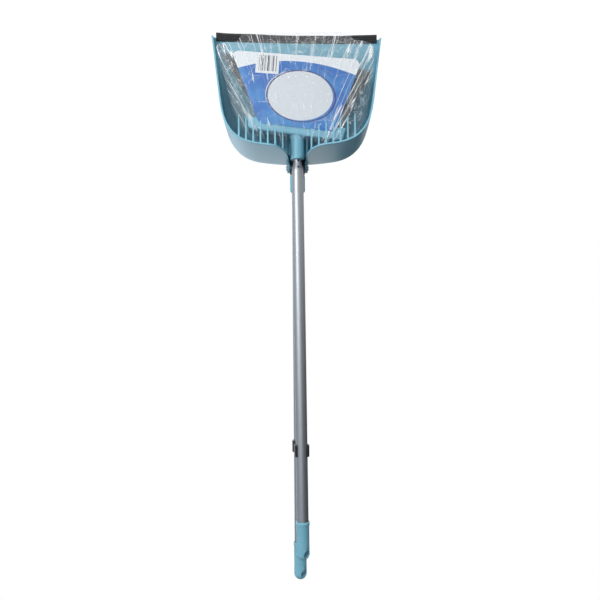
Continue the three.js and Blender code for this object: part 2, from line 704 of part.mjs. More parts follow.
// The printed card in front of the head, in broom coordinates.
function labelCard() {
  const corners = [
    v2(85 - pan.lipHalfWidth, 39.5), v2(pan.lipHalfWidth - 85, 23),
    v2(pan.lipHalfWidth - 38, pan.lipY - 90.5), v2(40 - pan.lipHalfWidth, pan.lipY - 71)];
  const shape = new THREE.Shape();
  corners.forEach((corner, i) => {
    const before = corners[(i + 3) % 4];
    const after = corners[(i + 1) % 4];
    const radius = i < 2 ? card.corner / 2 : card.corner;
    const enter = corner.clone().add(before.clone().sub(corner).setLength(radius));
    const leave = corner.clone().add(after.clone().sub(corner).setLength(radius));
    if (i === 0) shape.moveTo(enter.x, enter.y);
    else shape.lineTo(enter.x, enter.y);
    shape.quadraticCurveTo(corner.x, corner.y, leave.x, leave.y);
  });
  const back = head.halfDepth + card.lift;
  return slab(shape, back, back + card.thickness, 8);
}

// The clear film bag round the head, open at the neck, with a flat end over the pan's lip.
function filmBag() {
  const fullDepth = head.halfDepth + card.lift + card.thickness + film.thickness + 1.2;
  // Side points are given by their distance from the pan's lip corners.
  const section = (leftIn, leftY, rightIn, rightY, depth) => ({
    left: [leftIn - pan.lipHalfWidth, leftY], right: [pan.lipHalfWidth - rightIn, rightY], depth,
  });
  const { neckRadius } = broom;
  const end = pan.lipY - 38;
  const sections = [
    { left: [-neckRadius - 24.5, 13], right: [neckRadius + 26.5, 5], depth: neckRadius + 2.4 },
    section(54, 31, 59, 5, fullDepth),
    section(40, 65, 30, 50, fullDepth),
    section(13, end - 26, 15, end - 55, fullDepth),
    section(15, end - 19, 16, end - 27, 12),
    section(25, end - 16, 23, end - 18, 7),
    section(50, end - 13, 50, end - 13, 5),
    section(56, end, 56, end, 2.4),
  ];
  const outer = skin(sections.map(({ left, right, depth }) => stadium(left, right, depth, 6)));
  const t = film.thickness;
  const last = sections.length - 1;
  const inside = sections.map(({ left, right, depth }, i) => {
    const shoulderSlope = i < 2 ? 1.2 * t : 0;
    const drop = i === last ? -3 * t : shoulderSlope;
    return stadium([left[0] + t, left[1] + drop], [right[0] - t, right[1] + drop], depth - t, 6);
  });
  const mouth = sections[0];
  inside.unshift(stadium(
    [mouth.left[0] + t, mouth.left[1] - 12], [mouth.right[0] - t, mouth.right[1] - 12], mouth.depth - t, 6));
  return cut(outer, skin(inside));
}

// ---------------------------------------------------------------- assembly

function addPiece(group, name, geometry, finish) {
  const material = new THREE.MeshStandardMaterial({ ...finishes[finish] });
  const mesh = new THREE.Mesh(cleanGeometry(geometry), material);
  mesh.name = name;
  group.add(mesh);
  return mesh;
}

function panGroup() {
  const group = new THREE.Group();
  group.position.set(0, PIVOT_Y, -pan.hingeHeight);
  addPiece(group, 'pan_shell', panShell(), 'bluePlastic');
  addPiece(group, 'right_comb', combTeeth(1), 'bluePlastic');
  addPiece(group, 'left_comb', combTeeth(-1), 'bluePlastic');
  addPiece(group, 'lip_strip', lipStrip(), 'blackRubber');
  addPiece(group, 'hinge_pin', hingePin(), 'steel').position.z = pan.hingeHeight;
  return group;
}

function handleGroup() {
  const group = new THREE.Group();
  addPiece(group, 'hinge_yoke', hingeYoke(), 'blackPlastic');
  addPiece(group, 'handle_socket', handleSocket(), 'bluePlastic');
  addPiece(group, 'pan_tube', panTube(), 'greyTube');
  addPiece(group, 'pan_grip', gripBody(), 'bluePlastic').position.y = -grip.holeFromTip;
  const clipMesh = addPiece(group, 'storage_clip', storageClip(), 'blackPlastic');
  clipMesh.position.y = clip.y;
  clipMesh.rotation.y = Math.asin(((NECK_Y - clip.y) * Math.tan(leanAngle())) / broom.standOff);
  return group;
}

function leanAngle() {
  return THREE.MathUtils.degToRad(broom.lean);
}

function headGroup() {
  const group = new THREE.Group();
  group.position.y = broom.neckEnd;
  group.rotation.z = -THREE.MathUtils.degToRad(head.tilt);
  addPiece(group, 'broom_cap', broomCap(), 'bluePlastic');
  addPiece(group, 'bristle_block', bristleBlock(), 'block');
  addPiece(group, 'bristles', bristles(), 'bristle');
  return group;
}

function broomGroup() {
  const group = new THREE.Group();
  group.position.set(0, NECK_Y, broom.standOff);
  group.rotation.z = leanAngle();
  addPiece(group, 'broom_tube', broomTube(), 'greyTube');
  addPiece(group, 'broom_grip', gripBody(), 'bluePlastic').position.y = broom.gripTip;
  addPiece(group, 'broom_ferrule', broomFerrule(), 'blackPlastic');
  addPiece(group, 'label_card', labelCard(), 'print');
  addPiece(group, 'film_bag', filmBag(), 'film');
  group.add(headGroup());
  return group;
}

const hungSet = new THREE.Group();
hungSet.add(panGroup(), handleGroup(), broomGroup());
hungSet.setRotationFromMatrix(new THREE.Matrix4().makeBasis(
  new THREE.Vector3(-1, 0, 0), new THREE.Vector3(0, 0, -1), new THREE.Vector3(0, -1, 0)));

const lobbySet = new THREE.Group();
lobbySet.add(hungSet);
lobbySet.updateMatrixWorld(true);

export default lobbySet;
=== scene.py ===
"""Lobby dust pan and brush set: the finished pieces, their materials and the studio."""

import json
import math
import random

import bmesh
import bpy
from bpy.props import FloatProperty, FloatVectorProperty, IntProperty, PointerProperty
from mathutils import Matrix, Vector, noise


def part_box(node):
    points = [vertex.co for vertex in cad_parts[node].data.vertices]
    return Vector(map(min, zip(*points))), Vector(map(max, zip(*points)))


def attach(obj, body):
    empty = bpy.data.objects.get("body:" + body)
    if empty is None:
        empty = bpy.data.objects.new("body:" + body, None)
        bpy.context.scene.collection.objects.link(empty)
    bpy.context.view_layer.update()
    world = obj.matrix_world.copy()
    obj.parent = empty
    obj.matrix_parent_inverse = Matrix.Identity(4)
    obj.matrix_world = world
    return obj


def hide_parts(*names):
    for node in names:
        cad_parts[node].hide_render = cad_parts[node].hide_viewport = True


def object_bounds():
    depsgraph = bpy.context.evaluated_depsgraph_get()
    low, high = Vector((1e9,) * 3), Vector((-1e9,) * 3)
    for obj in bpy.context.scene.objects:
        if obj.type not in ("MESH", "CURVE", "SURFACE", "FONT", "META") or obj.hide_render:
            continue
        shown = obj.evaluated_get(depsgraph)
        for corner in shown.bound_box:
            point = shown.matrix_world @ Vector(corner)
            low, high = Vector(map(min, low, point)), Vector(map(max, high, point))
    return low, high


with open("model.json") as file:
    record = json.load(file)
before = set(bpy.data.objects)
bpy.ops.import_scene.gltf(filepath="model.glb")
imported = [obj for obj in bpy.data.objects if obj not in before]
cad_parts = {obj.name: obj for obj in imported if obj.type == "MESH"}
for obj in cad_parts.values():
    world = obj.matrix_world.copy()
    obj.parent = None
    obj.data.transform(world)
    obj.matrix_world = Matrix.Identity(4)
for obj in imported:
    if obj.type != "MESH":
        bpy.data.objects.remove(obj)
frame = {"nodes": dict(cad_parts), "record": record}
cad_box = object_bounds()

bl_info = {
    "name": "Dust pan and brush set",
    "version": (1, 0, 0),
    "blender": (4, 5, 0),
    "location": "View3D > Sidebar > Dust pan",
    "description": "Builds a lobby dust pan with its clipped-on broom round a fixed CAD frame",
    "category": "Object",
}

MM = 0.001

# ---------------------------------------------------------------- places worked out from the frame


def joint(name):
    """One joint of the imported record."""
    return next(row for row in frame["record"]["behaviour"]["joints"] if row["name"] == name)


def middle(node):
    """The middle of a CAD node's box, in metres."""
    low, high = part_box(node)
    return (low + high) / 2


HINGE = Vector(joint("pan_open")["pos_m"])
TUBE_RADIUS = (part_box("pan_tube")[1].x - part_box("pan_tube")[0].x) / 2 / MM
HINGE_HEIGHT = (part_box("pan_shell")[1].y - HINGE.y) / MM
HOOD_HEIGHT = (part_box("pan_shell")[1].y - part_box("pan_shell")[0].y) / MM
LIP_HALF_WIDTH = (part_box("pan_shell")[1].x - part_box("pan_shell")[0].x) / 2 / MM
LIP_Y = (HINGE.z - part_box("pan_shell")[0].z) / MM

# Pieces are drawn in millimetres with the set laid on its back: x across, y towards the lip, z up
# off the bench. These matrices carry a drawing to its place on the hanging set, in metres.
# LAID starts from the middle of the pan grip's hole, PAN from the pan's flat back level with its pin.
LAID = Matrix(((-MM, 0, 0, 0), (0, 0, -MM, 0), (0, -MM, 0, 0), (0, 0, 0, 1)))
PAN = Matrix.Translation(Vector((0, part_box("pan_shell")[1].y, HINGE.z))) @ LAID

# How far the middle of the threaded plug lies behind the neck point.
PLUG_MIDDLE = 5.05


def broom_place():
    """The broom's drawing frame: along its axis, with y = 0 at the neck point."""
    grip = middle("broom_grip")
    plug = middle("broom_ferrule")
    along = (plug - grip).normalized()
    neck = plug + along * PLUG_MIDDLE * MM
    across = Vector((0, -1, 0))
    side = along.cross(across)
    turn = Matrix((side, along, across)).transposed().to_4x4()
    return Matrix.Translation(neck) @ turn @ Matrix.Diagonal((MM, MM, MM, 1))


BROOM = broom_place()

# The head hangs askew on the end of its neck.
HEAD_TILT = math.radians(8)
NECK_END = 19.0
HEAD = BROOM @ Matrix.Translation((0, NECK_END, 0)) @ Matrix.Rotation(-HEAD_TILT, 4, "Z")

# ---------------------------------------------------------------- settings a user would change


def length(name, description, default):
    """A length setting, in metres."""
    return FloatProperty(name=name, description=description, default=default, unit="LENGTH", precision=4)


def colour(name, description, default):
    """A colour setting, linear."""
    return FloatVectorProperty(
        name=name, description=description, default=default, subtype="COLOR", size=3, min=0, max=1)


class DustPanSizes(bpy.types.PropertyGroup):
    """Sizes of what the finished pieces add to the frame."""

    wall: length("Pan wall", "Thickness of the pan's walls and floor", 2.6 * MM)
    rim_round: length("Rim rounding", "Rounding of the pan's rim and slot edges", 0.7 * MM)
    tooth_width: length("Tooth width", "Width of one comb tooth", 2.4 * MM)
    filament: length("Filament radius", "Radius of one bristle filament", 0.34 * MM)
    filaments: IntProperty(name="Filaments", description="How many bristles the broom has", default=2300)
    crinkle: length("Film crinkle", "Height of the film bag's wrinkles", 2.2 * MM)


class DustPanColours(bpy.types.PropertyGroup):
    """Colours of the finished pieces."""

    plastic: colour("Blue plastic", "Pan, cap, socket and grips", (0.165, 0.39, 0.50))
    tube: colour("Tube", "Painted steel tubes", (0.31, 0.33, 0.355))
    rubber: colour("Rubber", "The pan's lip strip", (0.012, 0.0125, 0.0135))
    black: colour("Black plastic", "Clip and hinge yoke", (0.010, 0.0105, 0.012))
    bristle_light: colour("Light bristle", "Palest filaments", (0.50, 0.53, 0.55))
    bristle_dark: colour("Dark bristle", "Darkest filaments", (0.045, 0.05, 0.055))
    print_blue: colour("Print blue", "The card's blue field", (0.002, 0.110, 0.40))
    print_sky: colour("Print sky", "The card's pale streaks", (0.05, 0.28, 0.56))
    print_navy: colour("Print navy", "The ring on the card", (0.012, 0.022, 0.16))


class DustPanSettings(bpy.types.PropertyGroup):
    """All settings of the set."""

    sizes: PointerProperty(type=DustPanSizes)
    colours: PointerProperty(type=DustPanColours)


def sizes():
    """The size settings in use."""
    return bpy.context.scene.dust_pan.sizes


def colours():
    """The colour settings in use."""
    return bpy.context.scene.dust_pan.colours


# ---------------------------------------------------------------- shader sums


class Value:
    """A number that a shader node gives, which can be used in sums."""

    def __init__(self, shader, socket):
        self.shader = shader
        self.socket = socket

    def maths(self, operation, *others):
        """One Math node on this value and the others."""
        return self.shader.node("ShaderNodeMath", {"operation": operation}, {
            index: value for index, value in enumerate((self, *others))})

    def __add__(self, other):
        return self.maths("ADD", other)

    def __radd__(self, other):
        return self.maths("ADD", other)

    def __sub__(self, other):
        return self.maths("SUBTRACT", other)

    def __rsub__(self, other):
        return self.shader.node("ShaderNodeMath", {"operation": "SUBTRACT"}, {0: other, 1: self})

    def __mul__(self, other):
        return self.maths("MULTIPLY", other)

    def __rmul__(self, other):
        return self.maths("MULTIPLY", other)

    def __truediv__(self, other):
        return self.maths("DIVIDE", other)

    def __pow__(self, other):
        return self.maths("POWER", other)

    def absolute(self):
        """The value without its sign."""
        return self.maths("ABSOLUTE")

    def least(self, other):
        """The smaller of two values."""
        return self.maths("MINIMUM", other)

    def most(self, other):
        """The larger of two values."""
        return self.maths("MAXIMUM", other)

    def ramp(self, start, end):
        """0 at start and below or beyond, 1 at end, smooth between."""
        return self.shader.node("ShaderNodeMapRange", {"interpolation_type": "SMOOTHSTEP"}, {
            "Value": self, "From Min": start, "From Max": end, "To Min": 0.0, "To Max": 1.0})


class Shader:
    """One material and the nodes that make it."""

    def __init__(self, name, blended=False):
        self.material = bpy.data.materials.new(name)
        self.material.use_nodes = True
        self.tree = self.material.node_tree
        self.tree.nodes.clear()
        if blended:
            self.material.surface_render_method = "BLENDED"

    def node(self, kind, settings=None, inputs=None, output=0):
        """Adds any node: its settings first, then the values or links of its sockets."""
        made = self.tree.nodes.new(kind)
        for key, setting in (settings or {}).items():
            setattr(made, key, setting)
        for key, value in (inputs or {}).items():
            socket = made.inputs[key]
            if isinstance(value, Value):
                self.tree.links.new(value.socket, socket)
            elif socket.type == "RGBA" and len(value) == 3:
                socket.default_value = (*value, 1)
            else:
                socket.default_value = value
        return Value(self, made.outputs[output])

    def place(self, scale=(1, 1, 1), turn=(0, 0, 0)):
        """Object coordinates, turned and scaled."""
        here = self.node("ShaderNodeTexCoord", output="Object")
        return self.node("ShaderNodeMapping", {"vector_type": "TEXTURE"}, {
            "Vector": here, "Rotation": turn, "Scale": tuple(1 / s for s in scale)})

    def axis(self, place, name):
        """One coordinate of a place."""
        return self.node("ShaderNodeSeparateXYZ", None, {0: place}, output=name)

    def noise(self, place, scale, detail=3.0, roughness=0.55, distortion=0.0):
        """A soft noise, 0 to 1."""
        return self.node("ShaderNodeTexNoise", None, {
            "Vector": place, "Scale": scale, "Detail": detail, "Roughness": roughness,
            "Distortion": distortion}, output="Fac")

    def mix(self, factor, first, second):
        """A colour between two colours."""
        return self.node("ShaderNodeMix", {"data_type": "RGBA"}, {0: factor, 6: first, 7: second}, output=2)

    def bump(self, height, strength, distance):
        """A bumped normal."""
        return self.node("ShaderNodeBump", None, {
            "Height": height, "Strength": strength, "Distance": distance}, output="Normal")

    def surface(self, inputs):
        """A Principled surface, wired to the output."""
        shader = self.node("ShaderNodeBsdfPrincipled", None, inputs, output="BSDF")
        self.finish(shader)
        return self.material

    def finish(self, shader):
        """Wires a shader to the output."""
        out = self.tree.nodes.new("ShaderNodeOutputMaterial")
        self.tree.links.new(shader.socket, out.inputs["Surface"])


def blue_plastic():
    """Satin polypropylene: faint moulding haze, a fine grain and light handling marks."""
    s = Shader("blue_plastic")
    here = s.place()
    haze = s.noise(here, 14, 2)
    grain = s.noise(here, 1500, 2)
    scuff = s.noise(s.place(scale=(30, 30, 260)), 1.0, 4, 0.7).ramp(0.62, 0.78)
    base = tuple(colours().plastic)
    deep = tuple(c * 0.88 for c in base)
    pale = tuple(min(1, c * 1.12 + 0.01) for c in base)
    tone = s.mix(haze, deep, pale)
    return s.surface({
        "Base Color": s.mix(scuff * 0.06, tone, (0.62, 0.74, 0.80)),
        "Roughness": 0.36 + haze * 0.08 + scuff * 0.1,
        "Normal": s.bump(grain + haze * 0.6, 0.16, 0.0004),
        "Subsurface Weight": 0.06,
        "Subsurface Radius": (0.004, 0.006, 0.008),
        "Specular IOR Level": 0.38,
    })


def tube_paint():
    """Grey painted steel with faint drawing lines along the tube."""
    s = Shader("grey_tube")
    drawn = s.noise(s.place(scale=(900, 900, 3)), 1.0, 3, 0.6)
    cloud = s.noise(s.place(), 22, 3)
    base = tuple(colours().tube)
    pale = tuple(min(1, c * 1.18) for c in base)
    tick = s.noise(s.place(scale=(260, 260, 60)), 1.0, 2, 0.8).ramp(0.70, 0.80)
    return s.surface({
        "Base Color": s.mix(tick * 0.35, s.mix(drawn, base, pale), (0.18, 0.185, 0.2)),
        "Metallic": 0.85,
        "Roughness": 0.37 + drawn * 0.08 + cloud * 0.06,
        "Normal": s.bump(drawn, 0.10, 0.0002),
    })


def rubber():
    """Black rubber with a dusty bloom and a fine grain."""
    s = Shader("black_rubber")
    here = s.place()
    bloom = s.noise(here, 60, 4, 0.65).ramp(0.45, 0.8)
    grain = s.noise(here, 1800, 2)
    drag = s.noise(s.place(scale=(8, 400, 400)), 1.0, 3).ramp(0.5, 0.8)
    base = tuple(colours().rubber)
    return s.surface({
        "Base Color": s.mix(bloom * 0.25 + drag * 0.12, base, (0.07, 0.072, 0.075)),
        "Roughness": 0.50 + grain * 0.16 + bloom * 0.12,
        "Normal": s.bump(grain + drag * 0.5, 0.3, 0.0003),
        "Specular IOR Level": 0.42,
    })


def black_plastic():
    """Smooth black moulded plastic, slightly scuffed."""
    s = Shader("black_plastic")
    here = s.place()
    scuff = s.noise(here, 220, 4, 0.7).ramp(0.55, 0.8)
    grain = s.noise(here, 1600, 2)
    base = tuple(colours().black)
    return s.surface({
        "Base Color": s.mix(scuff * 0.2, base, (0.06, 0.062, 0.066)),
        "Roughness": 0.34 + scuff * 0.2,
        "Normal": s.bump(grain, 0.15, 0.0002),
    })


def plain_steel():
    """Bright pin steel with turning marks."""
    s = Shader("steel")
    marks = s.noise(s.place(scale=(40, 900, 900)), 1.0, 3)
    return s.surface({
        "Base Color": s.mix(marks, (0.42, 0.43, 0.45), (0.62, 0.63, 0.65)),
        "Metallic": 1.0,
        "Roughness": 0.24 + marks * 0.16,
    })


def bristle_plastic():
    """Split plastic filaments, each with its own shade."""
    s = Shader("bristle")
    own = s.node("ShaderNodeAttribute", {"attribute_name": "shade"}, output="Fac")
    streak = s.noise(s.place(scale=(700, 700, 20)), 1.0, 2)
    tone = s.mix(own, tuple(colours().bristle_dark), tuple(colours().bristle_light))
    return s.surface({
        "Base Color": s.mix(streak * 0.35, tone, (0.20, 0.21, 0.22)),
        "Roughness": 0.34 + streak * 0.2,
        "Specular IOR Level": 0.5,
    })


# ---------------------------------------------------------------- the printed card and the film


def oval(s, x, y, centre, radii, turn=0.0):
    """Distance from the middle of an oval, 1 on its edge."""
    cos, sin = math.cos(turn), math.sin(turn)
    dx, dy = x - centre[0], y - centre[1]
    along = (dx * cos + dy * sin) / radii[0]
    across = (dy * cos - dx * sin) / radii[1]
    return (along * along + across * across) ** 0.5


def box_mask(s, x, y, low, high, soft):
    """1 inside a rectangle, 0 outside."""
    half = ((high[0] - low[0]) / 2, (high[1] - low[1]) / 2)
    off_x = (x - (low[0] + half[0])).absolute() - half[0]
    off_y = (y - (low[1] + half[1])).absolute() - half[1]
    return off_x.most(off_y).ramp(soft, -soft)


# The card's corners and its print, in the broom's drawing.
CARD_CORNERS = ((-64, 39.5), (64, 23), (111, 143.5), (-109, 163))
CARD_FRONT = 14.7
CARD_THICKNESS = 0.4
CARD = {
    "oval_centre": (4, 85), "oval_radii": (57, 42), "ring_centre": (7.5, 83.5), "ring_radii": (58, 43),
    "bars_middle": (-49, 138), "bars_half": (19.5, 15.5), "bars_turn": -0.083,
    "band_height": 142.5, "band_slope": -0.07, "band_curve": -0.00176,
}


def card_print():
    """A white and blue print: a pale band at the lip end, a plain oval with a ring, and plain bars."""
    s = Shader("print")
    # Millimetres on the card from the neck point: x across it, y towards the lip.
    here = s.node("ShaderNodeTexCoord", output="Object")
    neck = BROOM.translation
    x = (s.axis(here, "X") - neck.x) * (-1 / MM)
    y = (s.axis(here, "Z") - neck.z) * (-1 / MM)
    swirl = s.noise(s.place(scale=(9, 9, 22), turn=(0, 0.5, 0)), 1.0, 3, 0.5, 0.8).ramp(0.42, 0.72)
    glow = oval(s, x, y, (-30, 48), (60, 30), 0.5).ramp(1.1, 0.3)
    pale = (swirl * 0.5 + glow * 0.5).least(1.0)
    blue = s.mix(pale, tuple(colours().print_blue), tuple(colours().print_sky))
    edge = x * CARD["band_slope"] + x * x * CARD["band_curve"] + CARD["band_height"]
    band = (y - edge).ramp(-0.5, 0.5)
    white = (0.66, 0.68, 0.70)
    art = s.mix(band, blue, white)
    ring_place = oval(s, x, y, CARD["ring_centre"], CARD["ring_radii"], -0.12)
    inside = oval(s, x, y, CARD["oval_centre"], CARD["oval_radii"], -0.12).ramp(1.012, 0.992)
    art = s.mix(inside, art, (0.56, 0.58, 0.61))
    ring = (ring_place - 1.0).absolute().ramp(0.030, 0.018)
    art = s.mix(ring, art, tuple(colours().print_navy))
    turn_cos, turn_sin = math.cos(CARD["bars_turn"]), math.sin(CARD["bars_turn"])
    off_x, off_y = x - CARD["bars_middle"][0], y - CARD["bars_middle"][1]
    bar_x, bar_y = off_x * turn_cos + off_y * turn_sin, off_y * turn_cos - off_x * turn_sin
    wide, tall = CARD["bars_half"]
    panel = box_mask(s, bar_x, bar_y, (-wide, -tall), (wide, tall), 0.4)
    art = s.mix(panel, art, (0.66, 0.665, 0.68))
    field = box_mask(s, bar_x, bar_y, (-wide + 5, -tall + 4), (wide - 4, tall - 0.5), 0.3)
    bars = s.node("ShaderNodeTexNoise", {"noise_dimensions": "1D"}, {
        "W": bar_x, "Scale": 0.45, "Detail": 1.0, "Roughness": 0.9}, output="Fac").ramp(0.50, 0.53)
    art = s.mix(field * bars, art, (0.03, 0.03, 0.035))
    fibre = s.noise(s.place(), 900, 3)
    dip = s.noise(s.place(), 26, 2)
    return s.surface({
        "Base Color": s.mix(fibre * 0.02, art, (0.5, 0.52, 0.55)),
        "Roughness": 0.30 + fibre * 0.14,
        "Normal": s.bump(dip + fibre * 0.05, 0.25, 0.0015),
        "Coat Weight": 0.25,
        "Coat Roughness": 0.12,
    })


def clear_film():
    """Thin clear film: see-through, with painted highlights and a milky haze along its folds."""
    s = Shader("clear_film", blended=True)
    here = s.place()
    bent = s.noise(here, 18, 3, 0.6, 0.6)
    crease_highlight = (s.noise(here, 30, 2, 0.5, 1.2) - 0.5).absolute().ramp(0.014, 0.0)
    fine = (s.noise(s.place(scale=(60, 60, 26)), 1.0, 4, 0.6, 1.0) - 0.5).absolute().ramp(0.030, 0.0)
    # Long folds run out from the neck, so they are drawn by their angle about it.
    neck = BROOM.translation
    spread = s.node("ShaderNodeMath", {"operation": "ARCTAN2"}, {
        0: s.axis(here, "X") - neck.x, 1: (s.axis(here, "Z") - neck.z) * -1.0 + 0.09})
    folds = s.node("ShaderNodeCombineXYZ", None, {0: spread * 9.0, 1: s.axis(here, "Z") * 2.2})
    # The streak lines are painted highlights along the long folds.
    streak = (s.noise(folds, 1.0, 3, 0.6) - 0.5).absolute().ramp(0.012, 0.0)
    outer = spread.absolute().ramp(0.12, 0.42) * 0.8 + 0.2
    edge = s.node("ShaderNodeLayerWeight", None, {"Blend": 0.25}, output="Facing")
    # Painted highlights: the streak, fold-line and fine masks turn the film white and opaque in thin lines,
    # standing in for light caught by its folds. The facing term whitens it a little towards its outline,
    # and the small constant is an even milky haze.
    shown = (streak * outer * 0.55 + crease_highlight * 0.16 + fine * bent.ramp(0.52, 0.70) * 0.16 + edge * 0.07
             + 0.014).least(0.7)
    gloss = s.node("ShaderNodeBsdfPrincipled", None, {
        "Base Color": (0.93, 0.95, 0.96),
        "Roughness": 0.07 + fine * 0.10,
        "Specular IOR Level": 0.9,
        "Normal": s.bump(crease_highlight * 0.6 + streak * 0.8 + fine * 0.3 + bent, 0.35, 0.002),
    }, output="BSDF")
    clear = s.node("ShaderNodeBsdfTransparent", None, {"Color": (0.985, 0.99, 0.992)}, output="BSDF")
    mixed = s.node("ShaderNodeMixShader", None, {0: shown, 1: clear, 2: gloss}, output="Shader")
    s.finish(mixed)
    return s.material


MADE = {}


def material(name):
    """One of the set's materials, made the first time it is asked for."""
    makers = {
        "blue_plastic": blue_plastic, "grey_tube": tube_paint, "black_rubber": rubber,
        "black_plastic": black_plastic, "steel": plain_steel, "bristle": bristle_plastic,
        "print": card_print, "clear_film": clear_film, "block": black_plastic,
    }
    if name not in MADE:
        MADE[name] = makers[name]()
    return MADE[name]


# ---------------------------------------------------------------- modelling helpers


def clear_selection():
    """Leaves nothing selected, in object mode."""
    if bpy.context.object and bpy.context.object.mode != "OBJECT":
        bpy.ops.object.mode_set(mode="OBJECT")
    bpy.ops.object.select_all(action="DESELECT")


def choose(*objects):
    """Selects these objects only, the first one active."""
    clear_selection()
    for item in objects:
        item.select_set(True)
    bpy.context.view_layer.objects.active = objects[0]
    return objects[0]


def modify(item, kind, **settings):
    """Adds a modifier, sets it and applies it."""
    choose(item)
    modifier = item.modifiers.new(kind.title(), kind)
    for key, setting in settings.items():
        setattr(modifier, key, setting)
    bpy.ops.object.modifier_apply(modifier=modifier.name)
    return item


def soften(item, width, segments=3, angle=40):
    """Rounds the sharp edges and smooths the rest."""
    modify(item, "BEVEL", width=width, segments=segments, limit_method="ANGLE",
           angle_limit=math.radians(angle), harden_normals=False, use_clamp_overlap=True)
    return smooth(item, angle)


def smooth(item, angle=40):
    """Smooth shading, with edges sharper than the angle left crisp."""
    choose(item)
    bpy.ops.object.shade_smooth_by_angle(angle=math.radians(angle))
    return item


def join(name, *items):
    """Joins pieces into one object."""
    choose(*items)
    bpy.ops.object.join()
    bpy.context.object.name = name
    return bpy.context.object


def settle(item, name, place, body, slot, *nodes):
    """Puts a drawn piece in its place on the set, and says what it rides on and stands for."""
    item.name = name
    item.data.name = name
    item.data.transform(place)
    if place.determinant() < 0:
        item.data.flip_normals()
    item.data.update()
    item.data.materials.clear()
    item.data.materials.append(material(slot))
    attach(item, body)
    if nodes:
        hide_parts(*nodes)
    return item


def plate(name, outline, thickness):
    """A flat plate: a filled outline in x and y, extruded up."""
    clear_selection()
    bpy.ops.mesh.primitive_circle_add(vertices=len(outline), radius=1, fill_type="NGON")
    item = bpy.context.object
    item.name = name
    for vertex, (x, y) in zip(item.data.vertices, outline):
        vertex.co = (x, y, 0)
    bpy.ops.object.mode_set(mode="EDIT")
    bpy.ops.mesh.select_all(action="SELECT")
    bpy.ops.mesh.extrude_region_move(TRANSFORM_OT_translate={"value": (0, 0, thickness)})
    bpy.ops.mesh.select_all(action="SELECT")
    bpy.ops.mesh.normals_make_consistent(inside=False)
    bpy.ops.object.mode_set(mode="OBJECT")
    return item


def lathe(name, outline, steps=96):
    """A round piece about the y axis: an outline of (radius, y) points, spun."""
    clear_selection()
    bpy.ops.mesh.primitive_circle_add(vertices=len(outline), radius=1, fill_type="NOTHING")
    item = bpy.context.object
    item.name = name
    for vertex, (radius, y) in zip(item.data.vertices, outline):
        vertex.co = (radius, y, 0)
    on_axis = outline[0][0] == 0 and outline[-1][0] == 0
    bpy.ops.object.mode_set(mode="EDIT")
    if on_axis:
        drop_closing_edge(item, len(outline))
    bpy.ops.mesh.select_all(action="SELECT")
    bpy.ops.mesh.spin(steps=steps, angle=2 * math.pi, center=(0, 0, 0), axis=(0, 1, 0))
    bpy.ops.mesh.select_all(action="SELECT")
    bpy.ops.mesh.remove_doubles(threshold=0.001)
    bpy.ops.mesh.normals_make_consistent(inside=False)
    bpy.ops.object.mode_set(mode="OBJECT")
    return item


def drop_closing_edge(item, count):
    """Opens a ring between its last point and its first, which both lie on the axis."""
    mesh = bmesh.from_edit_mesh(item.data)
    mesh.verts.ensure_lookup_table()
    closing = mesh.edges.get((mesh.verts[0], mesh.verts[count - 1]))
    mesh.edges.remove(closing)
    bmesh.update_edit_mesh(item.data)


def carve(item, tool):
    """Cuts one solid out of another and removes the tool."""
    modify(item, "BOOLEAN", operation="DIFFERENCE", object=tool, solver="EXACT")
    bpy.data.objects.remove(tool)
    return item


def refined(node, width):
    """A copy of a CAD node with its flats made whole and its edges rounded, in metres."""
    source = frame["nodes"][node]
    item = bpy.data.objects.new(node + "_fine", source.data.copy())
    bpy.context.collection.objects.link(item)
    choose(item)
    bpy.ops.object.mode_set(mode="EDIT")
    bpy.ops.mesh.select_all(action="SELECT")
    bpy.ops.mesh.remove_doubles(threshold=0.00002)
    bpy.ops.mesh.dissolve_limited(angle_limit=math.radians(1.5))
    bpy.ops.object.mode_set(mode="OBJECT")
    return soften(item, width, 3, 30)


def blend_step(low, high, value):
    """0 below low, 1 above high, smooth between."""
    share = min(max((value - low) / (high - low), 0), 1)
    return share * share * (3 - 2 * share)


def bezier(points, share):
    """A point of a Bezier curve of any order."""
    points = [Vector(p) for p in points]
    while len(points) > 1:
        points = [a.lerp(b, share) for a, b in zip(points, points[1:])]
    return points[0]


# ---------------------------------------------------------------- the pan

# The pan's outline seen from the front: where its straight sides end and where its corners end.
SHOULDER = (131.0, 104.0)
CORNER_END = (62.0, 10.5)
REAR_Y = 6.0
# The slot in the rear wall and the recess below it, which clear the tubes and the yoke.
SLOT_HALF = 15.0
RECESS_Y = 18.0
RECESS_HEIGHT = 34.0
SLOT_STRAIGHT = 48.0
SLOT_RIM = 48.0
# The rounding at the floor, the heights, and how far the walls lean.
FOOT = 12.0
RECESS_FOOT = 0.6
LIP_FOOT = 1.2
LIP_HEIGHT = 27.0
REAR_LEAN = 12.5
LIP_RAKE = 8.0
SIDE_LEAN = 4.0
HOOD_FLAT = 40.0
LEAN_CURVE = 1.3
# How the front edge lies: skewed, and drawn back in the middle.
LIP_SKEW = 0.022
LIP_BOW = 2.0
# The combs' teeth: how many, the first one's place, the pitch and how far they reach.
TEETH = 7
TOOTH_FIRST = 24.0
TOOTH_PITCH = 11.8
TOOTH_REACH = 52.5
TOOTH_REACH_STEP = 3.0


